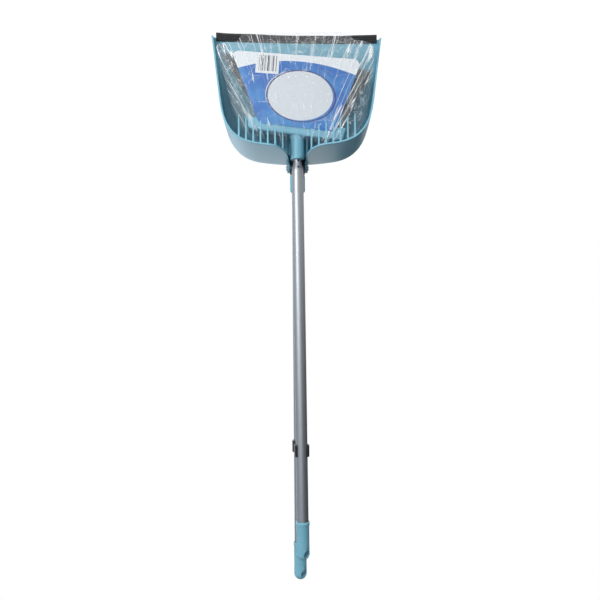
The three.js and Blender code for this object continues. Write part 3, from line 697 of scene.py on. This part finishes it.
def pan_path():
    """The pan's outer outline from one lip corner to the other, round the recess, with its kind."""
    half = []
    for step in range(14):
        half.append((*Vector((LIP_HALF_WIDTH, LIP_Y)).lerp(Vector(SHOULDER), step / 14), "side"))
    corner = [SHOULDER, (125.5, 66), (119, 18), CORNER_END]
    for step in range(26):
        half.append((*bezier(corner, step / 26), "side"))
    rear = [CORNER_END, (CORNER_END[0] / 2, REAR_Y), (0, REAR_Y)]
    last = 1 - SLOT_HALF / CORNER_END[0]
    for step in range(19):
        half.append((*bezier(rear, last * step / 18), "rear"))
    for share in (0.3, 0.6, 0.85):
        half.append((SLOT_HALF, REAR_Y + (RECESS_Y - 2 - REAR_Y) * share, "recess"))
    for turn in (0, 30, 60, 90):
        angle = math.radians(turn)
        half.append((SLOT_HALF - 2 + 2 * math.cos(angle), RECESS_Y - 2 + 2 * math.sin(angle), "recess"))
    for share in (0.35, 0.7):
        half.append((SLOT_HALF * (1 - share), RECESS_Y, "recess"))
    middle_point = [(0.0, RECESS_Y, "recess")]
    return half + middle_point + [(-x, y, kind) for x, y, kind in reversed(half)]


def hood_rim(y):
    """Height of the rim seen from the side: level over the hood, then falling to the lip."""
    if y <= HOOD_FLAT:
        return HOOD_HEIGHT
    curve = [(HOOD_FLAT, HOOD_HEIGHT), (HOOD_FLAT + 45, HOOD_HEIGHT),
             (HOOD_FLAT + 70, LIP_HEIGHT + 31), (LIP_Y + 10, LIP_HEIGHT - 2)]
    low, high = 0.0, 1.0
    for _ in range(24):
        share = (low + high) / 2
        low, high = (share, high) if bezier(curve, share).x < y else (low, share)
    return bezier(curve, low).y


def slot_rim(x):
    """Height of the rim beside the slot, seen from behind."""
    x = abs(x)
    if x >= SLOT_RIM:
        return HOOD_HEIGHT
    curve = [(SLOT_HALF, SLOT_STRAIGHT), (SLOT_HALF + 1, HOOD_HEIGHT - 32),
             (SLOT_HALF + 12, HOOD_HEIGHT), (SLOT_RIM, HOOD_HEIGHT)]
    low, high = 0.0, 1.0
    for _ in range(24):
        share = (low + high) / 2
        low, high = (share, high) if bezier(curve, share).x < x else (low, share)
    return bezier(curve, low).y


def wall_column(path, index):
    """One upright line of the pan's outer skin: how far in and how high each of its points is."""
    x, y, kind = path[index]
    before, after = path[max(index - 1, 0)], path[min(index + 1, len(path) - 1)]
    along = Vector((after[0] - before[0], after[1] - before[1])).normalized()
    inward = Vector((along.y, -along.x))
    recess = kind == "recess"
    square = blend_step(SHOULDER[1], LIP_Y - 20, y)
    foot = RECESS_FOOT if recess else FOOT + (LIP_FOOT - FOOT) * square
    top = RECESS_HEIGHT if recess else min(hood_rim(y), slot_rim(x) if kind == "rear" else HOOD_HEIGHT)
    lean = REAR_LEAN * inward.y ** 2 + SIDE_LEAN * inward.x ** 2 * (1 - y / LIP_Y)
    if recess or abs(x) <= SLOT_HALF + 0.1:
        # The recess's sides start from the leaning rear wall and end upright.
        inward, lean = Vector((0, 1)), REAR_LEAN * (1 - blend_step(REAR_Y, RECESS_Y - 2, y))
    if not recess and abs(x) < 20:
        foot = RECESS_FOOT + (foot - RECESS_FOOT) * blend_step(SLOT_HALF, 20, abs(x))
    points = []
    for turn in (0, 15, 30, 45, 60, 75, 90):
        angle = math.radians(turn)
        points.append((foot * (1 - math.sin(angle)), foot * (1 - math.cos(angle))))
    for step in range(1, 15):
        points.append((0.0, foot + (top - foot) * step / 14))
    column = []
    for shift, height in points:
        shift += lean * (height / HOOD_HEIGHT) ** LEAN_CURVE
        column.append((x + inward.x * shift, y + inward.y * shift, height))
    if index in (0, len(path) - 1):
        rake = LIP_RAKE / LIP_HEIGHT
        column = [(px, LIP_Y - rake * max(height - 3, 0), height) for px, _, height in column]
    return [lip_sag(point) for point in column]


def lip_sag(point):
    """The soft lip's lie: one corner lower than the other, and the middle drawn back a little."""
    x, y, height = point
    share = blend_step(SHOULDER[1] - 40, LIP_Y, y)
    drawn_back = LIP_BOW * (1 - (x / LIP_HALF_WIDTH) ** 2)
    return (x, y - share * (LIP_SKEW * x + drawn_back), height)


def pan_skin():
    """The pan's outer skin as one sheet: the floor and a ribbon of wall round it."""
    path = pan_path()
    columns = [wall_column(path, index) for index in range(len(path))]
    rows = len(columns[0])
    points = [point for column in columns for point in column]
    faces = []
    for i in range(len(columns) - 1):
        for j in range(rows - 1):
            a, b = i * rows + j, (i + 1) * rows + j
            faces.append((a, a + 1, b + 1, b))
    faces.append([i * rows for i in range(len(columns))])
    mesh = bpy.data.meshes.new("pan_skin")
    mesh.from_pydata(points, [], faces)
    item = bpy.data.objects.new("pan_skin", mesh)
    bpy.context.collection.objects.link(item)
    choose(item)
    bpy.ops.object.mode_set(mode="EDIT")
    bpy.ops.mesh.select_all(action="SELECT")
    bpy.ops.mesh.normals_make_consistent(inside=False)
    bpy.ops.object.mode_set(mode="OBJECT")
    floor = max(item.data.polygons, key=lambda face: face.area)
    if floor.normal.z > 0:
        item.data.flip_normals()
    return item


def pan_ear(side):
    """One hinge ear: a lobe round the pin on a root that runs into the rear wall, bored for the pin."""
    inner, thickness, radius, root, bore = 13.5, 4.5, 8.0, 13.0, 3.2
    outline = [(root, 0.4), (root, HINGE_HEIGHT + radius)]
    for step in range(13):
        angle = math.radians(90 + step * 9.5)
        outline.append((radius * math.cos(angle), HINGE_HEIGHT + radius * math.sin(angle)))
    outline += [(-1.5, 0.4)]
    ear = plate("ear", outline, thickness)
    # Drawn with x along the pan and y for height: stand it up and move it to its side.
    start = inner if side > 0 else -inner - thickness
    ear.data.transform(Matrix(((0, 0, 1, start), (1, 0, 0, 0), (0, 1, 0, 0), (0, 0, 0, 1))))
    clear_selection()
    bpy.ops.mesh.primitive_cylinder_add(
        vertices=40, radius=bore, depth=60, location=(0, 0, HINGE_HEIGHT), rotation=(0, math.pi / 2, 0))
    carve(ear, bpy.context.object)
    return soften(ear, 0.7, 3, 35)


def comb_tooth(x, reach):
    """One comb tooth: a tapered blade that grows out of the hood's rim towards the lip."""
    width = sizes().tooth_width / MM
    top = min(slot_rim(x), HOOD_HEIGHT) - 0.3
    root = rear_inside(x, top) - 1.6
    outline = [(root, top - 5.0), (root + 4, top - 4.4), (reach - 1.4, top - 2.7), (reach, top - 1.7),
               (reach - 0.8, top - 0.5), (root + 5, top - 0.1), (root, top)]
    tooth = plate("tooth", outline, width)
    tooth.data.transform(Matrix(((0, 0, 1, x - width / 2), (1, 0, 0, 0), (0, 1, 0, 0), (0, 0, 0, 1))))
    # The root is a little thicker than the tip, so that it draws from the mould.
    for vertex in tooth.data.vertices:
        taper = 1.28 - 0.42 * blend_step(root, reach, vertex.co.y)
        vertex.co.x = x + (vertex.co.x - x) * taper
    return soften(tooth, 0.45, 2, 35)


def rear_inside(x, height):
    """The inside of the rear wall at a place across the pan and a height."""
    path = pan_path()
    best = None
    for index, (px, py, kind) in enumerate(path):
        if kind == "recess" or px < 0 or py > SHOULDER[1]:
            continue
        before, after = path[index - 1], path[index + 1]
        along = Vector((after[0] - before[0], after[1] - before[1])).normalized()
        lean = REAR_LEAN * along.x ** 2 + SIDE_LEAN * along.y ** 2
        shift = sizes().wall / MM + lean * (height / HOOD_HEIGHT) ** LEAN_CURVE
        place = Vector((px + along.y * shift, py - along.x * shift))
        if best is None or abs(place.x - abs(x)) < abs(best.x - abs(x)):
            best = place
    return best.y


def build_pan():
    """The whole moulding: tub, hood, recess, ears and both combs."""
    skin = pan_skin()
    modify(skin, "SOLIDIFY", thickness=sizes().wall / MM, offset=-1, use_even_offset=True, use_rim=True)
    soften(skin, sizes().rim_round / MM, 3, 55)
    parts = [skin, pan_ear(1), pan_ear(-1)]
    for side in (1, -1):
        for tooth in range(TEETH):
            across = TOOTH_FIRST + TOOTH_PITCH * tooth
            parts.append(comb_tooth(side * across, TOOTH_REACH + TOOTH_REACH_STEP * tooth))
    whole = join("pan_moulding", *parts)
    return settle(whole, "pan_moulding", PAN, "pan", "blue_plastic", "pan_shell", "left_comb", "right_comb")


def build_lip():
    """The rubber strip: a ribbed channel, slightly wavy along its free edge."""
    low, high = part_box("lip_strip")
    half = (high.x - low.x) / 2 / MM
    back, front = (HINGE.z - high.z) / MM, (HINGE.z - low.z) / MM
    crown, under, ribs, cuts = 5.4, 2.9, 4, 48
    outline = [(back, under)]
    pitch = (front - 3 - back) / ribs
    for rib in range(ribs):
        start = back + 0.5 + rib * pitch
        height = crown - 0.35 * rib
        for share, lift in ((0.0, -1.0), (0.16, -0.25), (0.38, 0.0), (0.6, -0.2), (0.8, -0.9)):
            outline.append((start + pitch * share, height + lift))
    outline += [(front - 2.0, 3.8), (front - 0.5, 2.6), (front, 1.6)]
    outline += [(front - 0.4, 0.6), (front - 1.4, 0.1)]
    outline += [(LIP_Y + 0.3, 0.1), (LIP_Y + 0.3, under)]
    strip = plate("lip_strip_fine", outline, 2 * half)
    strip.data.transform(Matrix(((0, 0, 1, -half), (1, 0, 0, 0), (0, 1, 0, 0), (0, 0, 0, 1))))
    choose(strip)
    bpy.ops.object.mode_set(mode="EDIT")
    for cut in range(1, cuts):
        bpy.ops.mesh.select_all(action="SELECT")
        place = -half + 2 * half * cut / cuts
        bpy.ops.mesh.bisect(plane_co=(place, 0, 0), plane_no=(1, 0, 0))
    bpy.ops.object.mode_set(mode="OBJECT")
    for vertex in strip.data.vertices:
        free = blend_step(back + 2, front, vertex.co.y)
        x, y, _ = lip_sag(vertex.co)
        wave = noise.noise(Vector((x * 0.02, 3.1, 0)))
        vertex.co.y = y + free * (wave * 0.8 - LIP_BOW * (1 - (x / half) ** 2))
        vertex.co.z += wave * free * 0.6 + free * 0.8
    soften(strip, 0.3, 2, 60)
    return settle(strip, "lip_strip_ribbed", PAN, "pan", "black_rubber", "lip_strip")


# ---------------------------------------------------------------- tubes, grips and hinge


# The broom's tube along its axis: where it is drawn down to the plug, its crimps and its two ends.
SWAGE_START = -42.0
SWAGE_END = -20.3
SWAGE_RADIUS = 6.5
TUBE_END = -6.0
TUBE_PAST_GRIP_MIDDLE = 11.0
CRIMPS = (-22.6, -33.8)
CRIMP_RADIUS = 2.1
CRIMP_ASIDE = 1.8

# A grip: its radii, its length, where its bore ends, and its hanging hole.
GRIP_RADIUS = 11.0
GRIP_COLLAR = 11.75
GRIP_LENGTH = 66.0
GRIP_SOLID = 23.5
HOLE_RADIUS = 6.5
HOLE_Y = 11.5
HOLE_TURN = math.radians(40)


def grip_distance():
    """From the neck point to the middle of the broom's grip."""
    return (middle("broom_grip") - BROOM.translation).length / MM


def swage_radius(place):
    """The broom tube's radius where it is drawn down."""
    share = (place - SWAGE_START) / (SWAGE_END - SWAGE_START)
    return TUBE_RADIUS + (SWAGE_RADIUS - TUBE_RADIUS) * math.sin(share * math.pi / 2) ** 2


def tube_outline(start, end, wall=0.9, swage=()):
    """A tube's closed outline, optionally drawn down at its far end."""
    outside = [(TUBE_RADIUS, start + 0.4), (TUBE_RADIUS, end if not swage else swage[0][1]), *swage]
    inside = [(radius - wall, y) for radius, y in reversed(outside)]
    return [(TUBE_RADIUS - 0.4, start), *outside, *inside[:-1], (TUBE_RADIUS - wall, start)]


def build_pan_tube():
    """The pan's tube, its outer edge chamfered at the grip end."""
    low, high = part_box("pan_tube")
    start, end = -high.z / MM, -low.z / MM
    tube = lathe("pan_tube_fine", tube_outline(start, end))
    smooth(tube, 40)
    return settle(tube, "pan_handle_tube", LAID, "handle", "grey_tube", "pan_tube")


def build_broom_tube():
    """The broom's tube: swaged down to the plug, with two crimp dents in its front."""
    start = -grip_distance() - TUBE_PAST_GRIP_MIDDLE
    steps = 12
    swage = []
    for step in range(steps + 1):
        place = SWAGE_START + (SWAGE_END - SWAGE_START) * step / steps
        swage.append((swage_radius(place), place))
    swage.append((SWAGE_RADIUS, TUBE_END))
    tube = lathe("broom_tube_fine", tube_outline(start, TUBE_END, swage=swage))
    for place in CRIMPS:
        clear_selection()
        bpy.ops.mesh.primitive_uv_sphere_add(
            segments=20, ring_count=12, radius=CRIMP_RADIUS,
            location=(CRIMP_ASIDE, place, swage_radius(place) + 0.2))
        carve(tube, bpy.context.object)
    smooth(tube, 35)
    return settle(tube, "broom_handle_tube", BROOM, "broom", "grey_tube", "broom_tube")


def grip_outline():
    """A grip's closed outline from its round tip to the mouth of its bore."""
    radius, collar, long, solid = GRIP_RADIUS, GRIP_COLLAR, GRIP_LENGTH, GRIP_SOLID
    outline = [(0, 0)]
    for step in range(1, 15):
        angle = math.pi / 2 * step / 14
        outline.append((radius * math.sin(angle), radius * (1 - math.cos(angle))))
    outline += [(radius - 0.12, long * 0.45), (radius, long - 7.6), (radius + 0.3, long - 6.6),
                (collar, long - 5.9), (collar, long - 0.9), (collar - 0.35, long - 0.25),
                (collar - 0.9, long),
                (TUBE_RADIUS + 0.5, long), (TUBE_RADIUS + 0.25, long - 0.5), (TUBE_RADIUS + 0.25, solid),
                (0, solid)]
    return outline


def build_grip(name, place, body, node):
    """A moulded grip with its turned hanging hole, the hole's rim rounded."""
    grip = lathe(name, grip_outline(), 72)
    clear_selection()
    bpy.ops.mesh.primitive_cylinder_add(vertices=48, radius=HOLE_RADIUS, depth=40)
    drill = bpy.context.object
    drill.data.transform(Matrix.Translation((0, HOLE_Y, 0)) @ Matrix.Rotation(HOLE_TURN, 4, "Y"))
    carve(grip, drill)
    soften(grip, 0.6, 3, 50)
    return settle(grip, name, place, body, "blue_plastic", node)


def build_grips():
    """Both grips."""
    hang_tip = Matrix.Translation((0, -HOLE_Y, 0))
    build_grip("pan_grip_moulded", LAID @ hang_tip, "handle", "pan_grip")
    tip = Matrix.Translation((0, -grip_distance() - GRIP_LENGTH / 2, 0))
    build_grip("broom_grip_moulded", BROOM @ tip, "broom", "broom_grip")


def refine_cad(node, width, body, slot, name):
    """Stands a rounded copy in for a CAD node."""
    return settle(refined(node, width), name, Matrix.Identity(4), body, slot, node)


# ---------------------------------------------------------------- the broom's head


def build_bristles():
    """A fan of split filaments, rooted in rows along the block, each with its own bend and shade."""
    rng = random.Random(11)
    root_y, tip_y = 19.6, 126.5
    root = {"left": -70.0, "right": 74.0, "half": 9.0}
    tip = {"left": -146.0, "right": 112.0, "half": 12.4}
    sides, rings = 4, 6
    radius = sizes().filament / MM
    points, faces, shades = [], [], []
    rows = 7
    for count in range(sizes().filaments):
        across = (count + rng.random()) / sizes().filaments
        row = (count % rows + 0.5) / rows * 2 - 1
        jitter_x, jitter_z = rng.gauss(0, 0.012), rng.gauss(0, 0.10)
        root_x = root["left"] + (root["right"] - root["left"]) * across
        start = Vector((root_x, root_y, root["half"] * row * 0.92))
        far = min(max(across + jitter_x, 0.0), 1.0)
        deep = min(max(row + jitter_z, -1.0), 1.0)
        short = abs(rng.gauss(0, 1.6))
        end = Vector((tip["left"] + (tip["right"] - tip["left"]) * far, tip_y - short, tip["half"] * deep))
        pull = (end - start).normalized() * 34
        stray = Vector((rng.gauss(0, 2.2), 0, rng.gauss(0, 1.1)))
        curve = [start, start + Vector((pull.x * 0.75, 34, pull.z)), start.lerp(end, 0.68) + stray, end]
        first = len(points)
        for ring in range(rings):
            centre = bezier(curve, ring / (rings - 1))
            thick = radius * (1.0 if ring < rings - 1 else 0.55)
            for side in range(sides):
                angle = math.pi / 4 + side * math.pi / 2
                out_x, out_z = thick * math.cos(angle), thick * math.sin(angle)
                points.append((centre.x + out_x, centre.y, centre.z + out_z))
        for ring in range(rings - 1):
            for side in range(sides):
                a = first + ring * sides + side
                b = first + ring * sides + (side + 1) % sides
                faces.append((a, b, b + sides, a + sides))
        faces.append(tuple(first + side for side in range(sides))[::-1])
        faces.append(tuple(first + (rings - 1) * sides + side for side in range(sides)))
        shade = min(max(rng.gauss(0.46, 0.27), 0), 1)
        shades += [shade] * (sides * rings)
    mesh = bpy.data.meshes.new("bristle_fan")
    mesh.from_pydata(points, [], faces)
    mesh.attributes.new("shade", "FLOAT", "POINT").data.foreach_set("value", shades)
    item = bpy.data.objects.new("bristle_fan", mesh)
    bpy.context.collection.objects.link(item)
    choose(item)
    bpy.ops.object.mode_set(mode="EDIT")
    bpy.ops.mesh.select_all(action="SELECT")
    bpy.ops.mesh.normals_make_consistent(inside=False)
    bpy.ops.object.mode_set(mode="OBJECT")
    bpy.ops.object.shade_smooth()
    return settle(item, "bristle_fan", HEAD, "broom", "bristle", "bristles")


def build_head():
    """The moulded cap, the block inside it and the plug that joins it to the tube."""
    refine_cad("broom_cap", 0.5 * MM, "broom", "blue_plastic", "broom_cap_moulded")
    refine_cad("bristle_block", 0.6 * MM, "broom", "block", "bristle_core")
    refine_cad("broom_ferrule", 0.15 * MM, "broom", "black_plastic", "threaded_plug")


def build_card():
    """The printed card: a thin sheet with rounded corners, bowed a little over the bristles."""
    corners = [Vector(corner) for corner in CARD_CORNERS]
    near_rounding, far_rounding = 8, 16
    cuts = 40
    outline = []
    for index, corner in enumerate(corners):
        before, after = corners[index - 1], corners[(index + 1) % 4]
        radius = near_rounding if index < 2 else far_rounding
        enter = corner + (before - corner).normalized() * radius
        leave = corner + (after - corner).normalized() * radius
        for step in range(7):
            outline.append(tuple(bezier([enter, corner, leave], step / 6)))
    card = plate("card", outline, CARD_THICKNESS)
    choose(card)
    bpy.ops.object.mode_set(mode="EDIT")
    for axis in (0, 1):
        low = min(corner[axis] for corner in CARD_CORNERS)
        high = max(corner[axis] for corner in CARD_CORNERS)
        for cut in range(1, cuts):
            bpy.ops.mesh.select_all(action="SELECT")
            place = low + (high - low) * cut / cuts
            bpy.ops.mesh.bisect(plane_co=(place, place, 0), plane_no=(1 - axis, axis, 0))
    bpy.ops.object.mode_set(mode="OBJECT")
    for vertex in card.data.vertices:
        x, y, _ = vertex.co
        ripple = noise.noise(Vector((x * 0.021, y * 0.03, 5.0))) * 0.9
        ripple += noise.noise(Vector((x * 0.06, y * 0.05, 1))) * 0.3
        vertex.co.z += CARD_FRONT + 0.3 + ripple * 0.4
    smooth(card, 40)
    return settle(card, "printed_card", BROOM, "broom", "print", "label_card")


# ---------------------------------------------------------------- the film bag

# The bag from the neck to its flat end: the left edge's place, the right edge's place, half the depth.
FILM_SECTIONS = [
    ((-35.4, 13), (37.4, 5), 13.6),
    ((-66, 21), (63, 4), 15.6),
    ((-94.4, 31), (89.4, 5), 17.2),
    ((-108.4, 65), (118.4, 50), 17.3),
    ((-122, 118), (126, 96), 17.3),
    ((-135.4, 170), (133.4, 141), 17.2),
    ((-133.4, 177), (132.4, 169), 11.4),
    ((-123.4, 180), (125.4, 178), 6.6),
    ((-98.4, 183), (98.4, 183), 4.6),
    ((-92.4, 195.6), (92.4, 195.6), 2.0),
]

# Where the film is stretched smooth over the card.
FILM_OVER_CARD_X = 112
FILM_OVER_CARD_Y = (30, 168)
FILM_THICKNESS = 0.12


def film_point(along, around):
    """A point of the smooth bag: along from the neck to the flat end, around from 0 to 1."""
    last = len(FILM_SECTIONS) - 1
    index = min(int(along * last), last - 1)
    share = along * last - index
    (la, ra, da), (lb, rb, db) = FILM_SECTIONS[index], FILM_SECTIONS[index + 1]
    left = Vector(la).lerp(Vector(lb), share)
    right = Vector(ra).lerp(Vector(rb), share)
    depth = da + (db - da) * share
    angle = around * 2 * math.pi
    # Nearly flat faces with narrow round sides.
    side = math.copysign(abs(math.cos(angle)) ** 0.45, math.cos(angle))
    rise = math.copysign(abs(math.sin(angle)) ** 0.38, math.sin(angle))
    place = left.lerp(right, 0.5 + side * 0.5)
    return Vector((place.x, place.y, rise * depth))


def crinkle_at(point, front):
    """How far the film is drawn in at a point: sharp folds that run from the neck to the corners."""
    x, y = point.x, point.y
    reach = max(math.hypot(x, y + 30), 1)
    angle = math.atan2(x, y + 30)
    side = 3.0 if front else 9.0
    rays = 1 - abs(noise.noise(Vector((angle * 7.5, reach * 0.008, side)))) * 2.4
    cross = 1 - abs(noise.noise(Vector((x * 0.022 + y * 0.016, y * 0.030 - x * 0.012, side + 4)))) * 2.2
    fine = noise.noise(Vector((x * 0.085, y * 0.07, side + 8)))
    return max(rays, 0) ** 3 * 0.8 + max(cross, 0) ** 3 * 0.7 + fine * 0.30


def build_film():
    """The clear bag round the head: a crinkled skin, open at the neck and pressed flat past the lip."""
    around_steps, along_steps = 220, 120
    low_y, high_y = FILM_OVER_CARD_Y
    crinkle = sizes().crinkle / MM
    points, faces = [], []
    for row in range(along_steps + 1):
        along = row / along_steps
        for column in range(around_steps):
            point = film_point(along, column / around_steps)
            front = point.z > 0
            depth = abs(point.z)
            drawn = crinkle_at(point, front) * crinkle * min(depth / 12, 1)
            flat_end = blend_step(1.0, 0.82, along)
            lift = -drawn * (0.25 + 0.75 * flat_end) * blend_step(1.5, 8, depth)
            over_card = front and abs(point.x) < FILM_OVER_CARD_X and low_y < point.y < high_y
            lift *= 0.22 if over_card else 1.0
            point.z += math.copysign(1, point.z) * lift
            points.append(point)
    for row in range(along_steps):
        for column in range(around_steps):
            following = (column + 1) % around_steps
            a, b = row * around_steps + column, row * around_steps + following
            faces.append((a, b, b + around_steps, a + around_steps))
    faces.append([along_steps * around_steps + column for column in range(around_steps)])
    mesh = bpy.data.meshes.new("film")
    mesh.from_pydata(points, [], faces)
    item = bpy.data.objects.new("film", mesh)
    bpy.context.collection.objects.link(item)
    choose(item)
    bpy.ops.object.mode_set(mode="EDIT")
    bpy.ops.mesh.select_all(action="SELECT")
    bpy.ops.mesh.normals_make_consistent(inside=False)
    bpy.ops.object.mode_set(mode="OBJECT")
    modify(item, "SOLIDIFY", thickness=FILM_THICKNESS, offset=-1, use_rim=True)
    choose(item)
    bpy.ops.object.shade_smooth()
    return settle(item, "film_bag_crinkled", BROOM, "broom", "clear_film", "film_bag")


# ---------------------------------------------------------------- the studio


def studio_world():
    """A white room to the camera; what lights the set is dimmer and falls off to one side."""
    world = bpy.data.worlds.new("studio")
    bpy.context.scene.world = world
    world.use_nodes = True
    tree = world.node_tree
    tree.nodes.clear()
    path = tree.nodes.new("ShaderNodeLightPath")
    seen = tree.nodes.new("ShaderNodeBackground")
    seen.inputs["Color"].default_value = (1, 1, 1, 1)
    seen.inputs["Strength"].default_value = 1.0
    lit = tree.nodes.new("ShaderNodeBackground")
    way = tree.nodes.new("ShaderNodeTexCoord")
    parts = tree.nodes.new("ShaderNodeSeparateXYZ")
    side = tree.nodes.new("ShaderNodeMapRange")
    side.interpolation_type = "SMOOTHSTEP"
    for socket, value in (("From Min", -0.75), ("From Max", 0.55), ("To Min", 0.02), ("To Max", 0.50)):
        side.inputs[socket].default_value = value
    tree.links.new(way.outputs["Generated"], parts.inputs[0])
    tree.links.new(parts.outputs["X"], side.inputs["Value"])
    tree.links.new(side.outputs["Result"], lit.inputs["Strength"])
    lit.inputs["Color"].default_value = (0.86, 0.94, 1.0, 1)
    mix = tree.nodes.new("ShaderNodeMixShader")
    out = tree.nodes.new("ShaderNodeOutputWorld")
    tree.links.new(path.outputs["Is Camera Ray"], mix.inputs[0])
    tree.links.new(lit.outputs[0], mix.inputs[1])
    tree.links.new(seen.outputs[0], mix.inputs[2])
    tree.links.new(mix.outputs[0], out.inputs["Surface"])


def area_light(name, place, aim, size, power, tint=(1, 1, 1)):
    """A soft rectangular light."""
    data = bpy.data.lights.new(name, "AREA")
    data.shape = "RECTANGLE"
    data.size, data.size_y = size
    data.energy = power
    data.color = tint
    lamp = bpy.data.objects.new(name, data)
    lamp.location = place
    lamp.rotation_euler = (Vector(aim) - Vector(place)).to_track_quat("-Z", "Y").to_euler()
    bpy.context.collection.objects.link(lamp)


def floor_paint():
    """A pale floor that stays as bright as the room."""
    s = Shader("floor")
    diffuse = s.node("ShaderNodeBsdfDiffuse", None, {"Color": (0.95, 0.95, 0.95)}, output="BSDF")
    glow = s.node("ShaderNodeEmission", None, {"Color": (1, 1, 1), "Strength": 1.05}, output="Emission")
    s.finish(s.node("ShaderNodeMixShader", None, {0: 0.95, 1: diffuse, 2: glow}, output="Shader"))
    return s.material


def build_studio():
    """Floor, lights and the camera, which sees the set upside down from straight in front."""
    low, high = cad_box
    # The set hangs, so the floor lies below the lowest place that the freed broom reaches.
    release = joint("broom_release")
    drop = min(0.0, release["axis"][2] * release["range_m"][1])
    clear_selection()
    bpy.ops.mesh.primitive_circle_add(
        vertices=96, radius=9, fill_type="NGON", location=(0, 0, low.z + drop - 0.02))
    floor = bpy.context.object
    floor.name = "floor"
    floor.data.materials.append(floor_paint())
    studio_world()
    pan_middle = middle("pan_shell")
    area_light("key", (0.75, -1.35, -1.05), pan_middle, (0.6, 0.6), 13)
    area_light("strip", (0.62, -0.80, -0.62), (0, 0, -0.60), (0.26, 0.60), 1.9, (0.84, 0.93, 1.0))
    area_light("fill", (0.2, -1.7, -0.3), (0, 0, -0.5), (0.8, 0.8), 2.6)
    area_light("back", (0.3, 1.4, -0.2), (0, 0, -0.6), (1.2, 1.4), 8)

    camera = bpy.data.objects.new("camera", bpy.data.cameras.new("camera"))
    bpy.context.collection.objects.link(camera)
    camera.data.lens = 40
    camera.data.sensor_width = 36
    camera_distance, camera_height, aside = 1.191, -0.4806, 0.0028
    roll = math.radians(0.44)
    up = Vector((-math.sin(roll), 0, -math.cos(roll)))
    right = Vector((-math.cos(roll), 0, math.sin(roll)))
    back = right.cross(up)
    stand = Vector((-aside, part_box("pan_shell")[1].y - camera_distance, camera_height))
    camera.matrix_world = Matrix.Translation(stand) @ Matrix((right, up, back)).transposed().to_4x4()
    camera.data.clip_start = 0.01
    bpy.context.scene.camera = camera
    bpy.context.scene.view_settings.view_transform = "Standard"


# ---------------------------------------------------------------- operators and panel


class MakePan(bpy.types.Operator):
    """Model the pan's moulding with its hood, recess, ears and combs."""

    bl_idname = "dust_pan.make_pan"
    bl_label = "Pan"

    def execute(self, context):
        build_pan()
        return {"FINISHED"}


class MakeLip(bpy.types.Operator):
    """Model the ribbed rubber strip on the pan's lip."""

    bl_idname = "dust_pan.make_lip"
    bl_label = "Lip strip"

    def execute(self, context):
        build_lip()
        return {"FINISHED"}


class MakeTubes(bpy.types.Operator):
    """Model the two painted tubes."""

    bl_idname = "dust_pan.make_tubes"
    bl_label = "Tubes"

    def execute(self, context):
        build_pan_tube()
        build_broom_tube()
        return {"FINISHED"}


class MakeGrips(bpy.types.Operator):
    """Model the two grips with their hanging holes."""

    bl_idname = "dust_pan.make_grips"
    bl_label = "Grips"

    def execute(self, context):
        build_grips()
        return {"FINISHED"}


class MakeHinge(bpy.types.Operator):
    """Round off the hinge's yoke, socket and pin, and the storage clip."""

    bl_idname = "dust_pan.make_hinge"
    bl_label = "Hinge and clip"

    def execute(self, context):
        refine_cad("hinge_yoke", 0.6 * MM, "handle", "black_plastic", "hinge_yoke_moulded")
        refine_cad("handle_socket", 0.4 * MM, "handle", "blue_plastic", "handle_socket_moulded")
        refine_cad("hinge_pin", 0.3 * MM, "pan", "steel", "hinge_pin_steel")
        refine_cad("storage_clip", 0.5 * MM, "handle", "black_plastic", "storage_clip_moulded")
        return {"FINISHED"}


class MakeHead(bpy.types.Operator):
    """Model the broom's cap, block, plug and bristles."""

    bl_idname = "dust_pan.make_head"
    bl_label = "Broom head"

    def execute(self, context):
        build_head()
        build_bristles()
        return {"FINISHED"}


class MakeWrapping(bpy.types.Operator):
    """Model the printed card and the clear film bag."""

    bl_idname = "dust_pan.make_wrapping"
    bl_label = "Card and film"

    def execute(self, context):
        build_card()
        build_film()
        return {"FINISHED"}


class MakeStudio(bpy.types.Operator):
    """Set up the floor, the lights and the camera."""

    bl_idname = "dust_pan.make_studio"
    bl_label = "Studio"

    def execute(self, context):
        build_studio()
        return {"FINISHED"}


STEPS = (MakeStudio, MakePan, MakeLip, MakeTubes, MakeGrips, MakeHinge, MakeHead, MakeWrapping)


class DustPanPanel(bpy.types.Panel):
    """The set's settings and steps."""

    bl_idname = "VIEW3D_PT_dust_pan"
    bl_label = "Dust pan and brush"
    bl_space_type = "VIEW_3D"
    bl_region_type = "UI"
    bl_category = "Dust pan"

    def draw(self, context):
        settings = context.scene.dust_pan
        for group in (settings.sizes, settings.colours):
            for name in group.bl_rna.properties.keys():
                if name not in ("rna_type", "name"):
                    self.layout.prop(group, name)
        for step in STEPS:
            self.layout.operator(step.bl_idname)


CLASSES = (DustPanSizes, DustPanColours, DustPanSettings, *STEPS, DustPanPanel)


def register():
    """Registers the settings, the operators and the panel."""
    for item in CLASSES:
        bpy.utils.register_class(item)
    bpy.types.Scene.dust_pan = PointerProperty(type=DustPanSettings)


def unregister():
    """Undoes register."""
    del bpy.types.Scene.dust_pan
    for item in reversed(CLASSES):
        bpy.utils.unregister_class(item)


def main():
    """Builds the whole set."""
    register()
    for step in STEPS:
        group, name = step.bl_idname.split(".")
        getattr(getattr(bpy.ops, group), name)()


if __name__ == "__main__":
    main()
